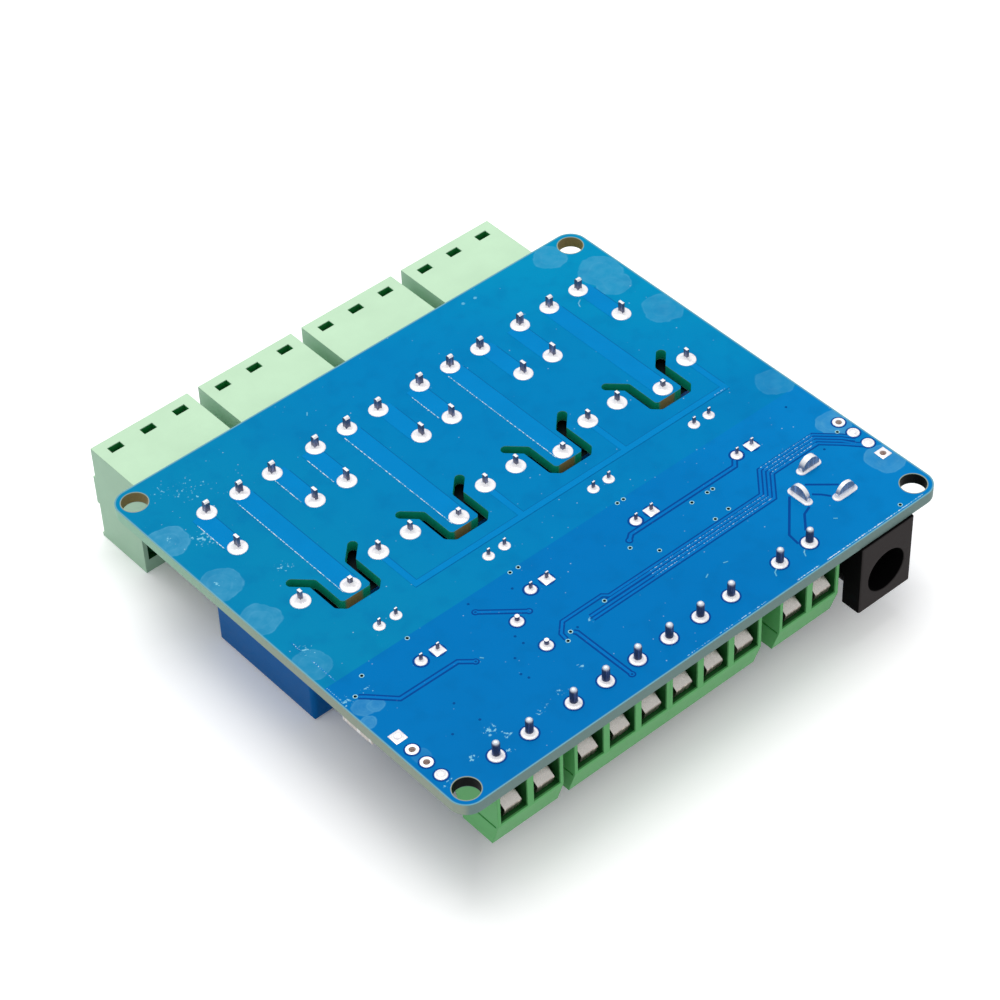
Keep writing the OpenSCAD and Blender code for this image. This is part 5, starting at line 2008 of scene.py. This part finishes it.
@dataclass
class Studio:
    """Plain white floor and surroundings, and one soft lamp; the floor glows less under and round the board, which
    paints a shadow there.

    Attributes:
        floor_z: Height of the floor, in millimetres.
        floor_size: Length of the floor's sides, in metres.
        floor_seen: Colour of the floor as the camera and the metal see it.
        floor_lit: Colour of the floor for the light that it throws back.
        floor_glow: How much white the floor adds to what is seen of it, under the board, round it and far from it; the
            lesser white under and round the board is a painted shadow.
        shade_centre: Middle of the object in plan, in millimetres.
        shade_half: Half the object's size in plan.
        shade_reach: Distances out from the object's sides at which the first and the second of the glows hold.
        glow_reach: Distances from the middle at which the second and the third hold.
        ambient: Strength of the light from all round.
        lamp: Place of the lamp, in millimetres.
        lamp_size: Length of its sides, in metres.
        lamp_power: Power of the lamp, in watts.
    """

    floor_z: float = -17.9
    floor_size: float = 6.0
    floor_seen: Tone = Tone(252, 252, 252)
    floor_lit: Tone = Tone(205, 205, 205)
    floor_glow: Point = (0.0, 0.32, 0.6)
    shade_centre: Spot = (0.0, 5.9)
    shade_half: Spot = (38.5, 39.6)
    shade_reach: Spot = (-14.0, 3.0)
    glow_reach: Spot = (110.0, 420.0)
    ambient: float = 0.58
    lamp: Point = (60.0, 150.0, 700.0)
    lamp_size: float = 0.45
    lamp_power: float = 2.6

    def _glow(self, desk: NodeDesk) -> Socket:
        """Spreads the white that the floor adds to what is seen of it, less of it under and round the board as a
        painted shadow.

        Args:
            desk: The floor's node tree.

        Returns:
            The strength of the white.
        """
        under, around, far = self.floor_glow
        outside = []
        for letter, centre, half in zip("XY", self.shade_centre, self.shade_half):
            outside.append(desk.minus(desk.apart(desk.axis(letter), centre), half))
        # Painted shadow: less glow under the board and close round it.
        clear = desk.step(desk.larger(*outside), *self.shade_reach)
        away = desk.step(desk.vector("LENGTH", desk.place()), *self.glow_reach)
        glow = desk.plus(under, desk.times(clear, around - under))
        return desk.plus(glow, desk.times(away, far - around))

    def _floor(self) -> None:
        """Adds the floor."""
        choose()
        bpy.ops.mesh.primitive_plane_add(size=self.floor_size, location=(0, 0, self.floor_z * MM))
        floor = settle(bpy.context.object)
        floor.name = "floor"
        desk = NodeDesk("white_floor", self.floor_seen, 0.9, gloss=0.0)
        desk.shader.inputs["Emission Color"].default_value = (1, 1, 1, 1)
        path = desk.put("ShaderNodeLightPath")
        seen = desk.larger(path.outputs["Is Camera Ray"], path.outputs["Is Glossy Ray"])
        desk.tree.links.new(desk.times(seen, self._glow(desk)), desk.shader.inputs["Emission Strength"])
        desk.colour(desk.blend(seen, self.floor_lit, self.floor_seen))
        floor.data.materials.append(desk.material)

    def _world(self) -> None:
        """Makes the light from all round, which looks plain white by itself."""
        world = bpy.data.worlds.new("white_room")
        world.use_nodes = True
        bpy.context.scene.world = world
        tree = world.node_tree
        background = tree.nodes["Background"]
        background.inputs["Color"].default_value = (1, 1, 1, 1)
        path = tree.nodes.new("ShaderNodeLightPath")
        seen = tree.nodes.new("ShaderNodeMath")
        seen.operation = "MAXIMUM"
        tree.links.new(path.outputs["Is Camera Ray"], seen.inputs[0])
        tree.links.new(path.outputs["Is Glossy Ray"], seen.inputs[1])
        level = tree.nodes.new("ShaderNodeMapRange")
        level.inputs["To Min"].default_value = self.ambient
        tree.links.new(seen.outputs[0], level.inputs["Value"])
        tree.links.new(level.outputs[0], background.inputs["Strength"])

    def _lamp(self) -> None:
        """Adds the soft lamp, aimed at the board."""
        light = bpy.data.lights.new("soft_lamp", "AREA")
        light.energy = self.lamp_power
        light.size = self.lamp_size
        lamp = bpy.data.objects.new("soft_lamp", light)
        lamp.location = Vector(self.lamp) * MM
        lamp.rotation_euler = (-lamp.location).to_track_quat("-Z", "Y").to_euler()
        bpy.context.collection.objects.link(lamp)

    def build(self) -> None:
        """Builds the floor, the surroundings and the lamp."""
        bpy.context.scene.view_settings.view_transform = "Standard"
        self._floor()
        self._world()
        self._lamp()


@dataclass
class Viewpoint:
    """The camera, above and beyond the board's near left corner.

    Attributes:
        place: Place of the camera, in millimetres.
        aim: Point that it looks at.
        roll: How far it is turned about its own axis, in degrees.
        lens: Focal length, in millimetres.
        sensor: Width of the sensor, in millimetres.
        near: Distance at which its view begins, in metres.
    """

    place: Point = (-175.14, -208.49, 263.25)
    aim: Point = (-2.9, 0.97, 0.0)
    roll: float = -2.45
    lens: float = 111.42
    sensor: float = 36.0
    near: float = 0.01

    def build(self) -> None:
        """Adds the camera and makes it the scene's."""
        data = bpy.data.cameras.new("viewpoint")
        data.lens = self.lens
        data.sensor_width = self.sensor
        data.clip_start = self.near
        camera = bpy.data.objects.new("viewpoint", data)
        camera.location = Vector(self.place) * MM
        along = Vector(self.aim) - Vector(self.place)
        turn = along.to_track_quat("-Z", "Y").to_matrix() @ Matrix.Rotation(math.radians(self.roll), 3, "Z")
        camera.rotation_euler = turn.to_euler()
        bpy.context.collection.objects.link(camera)
        bpy.context.scene.camera = camera


def main() -> None:
    """Builds the whole scene."""
    logging.basicConfig(level=logging.INFO, format="%(name)s: %(message)s")
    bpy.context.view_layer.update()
    Studio().build()
    Viewpoint().build()
    Relays().build()
    PlugConnectors().build()
    ScrewTerminals().build()
    PowerJack().build()
    Board().build()
    SolderWork().build()
    SmallParts().build()


if __name__ == "__main__":
    main()
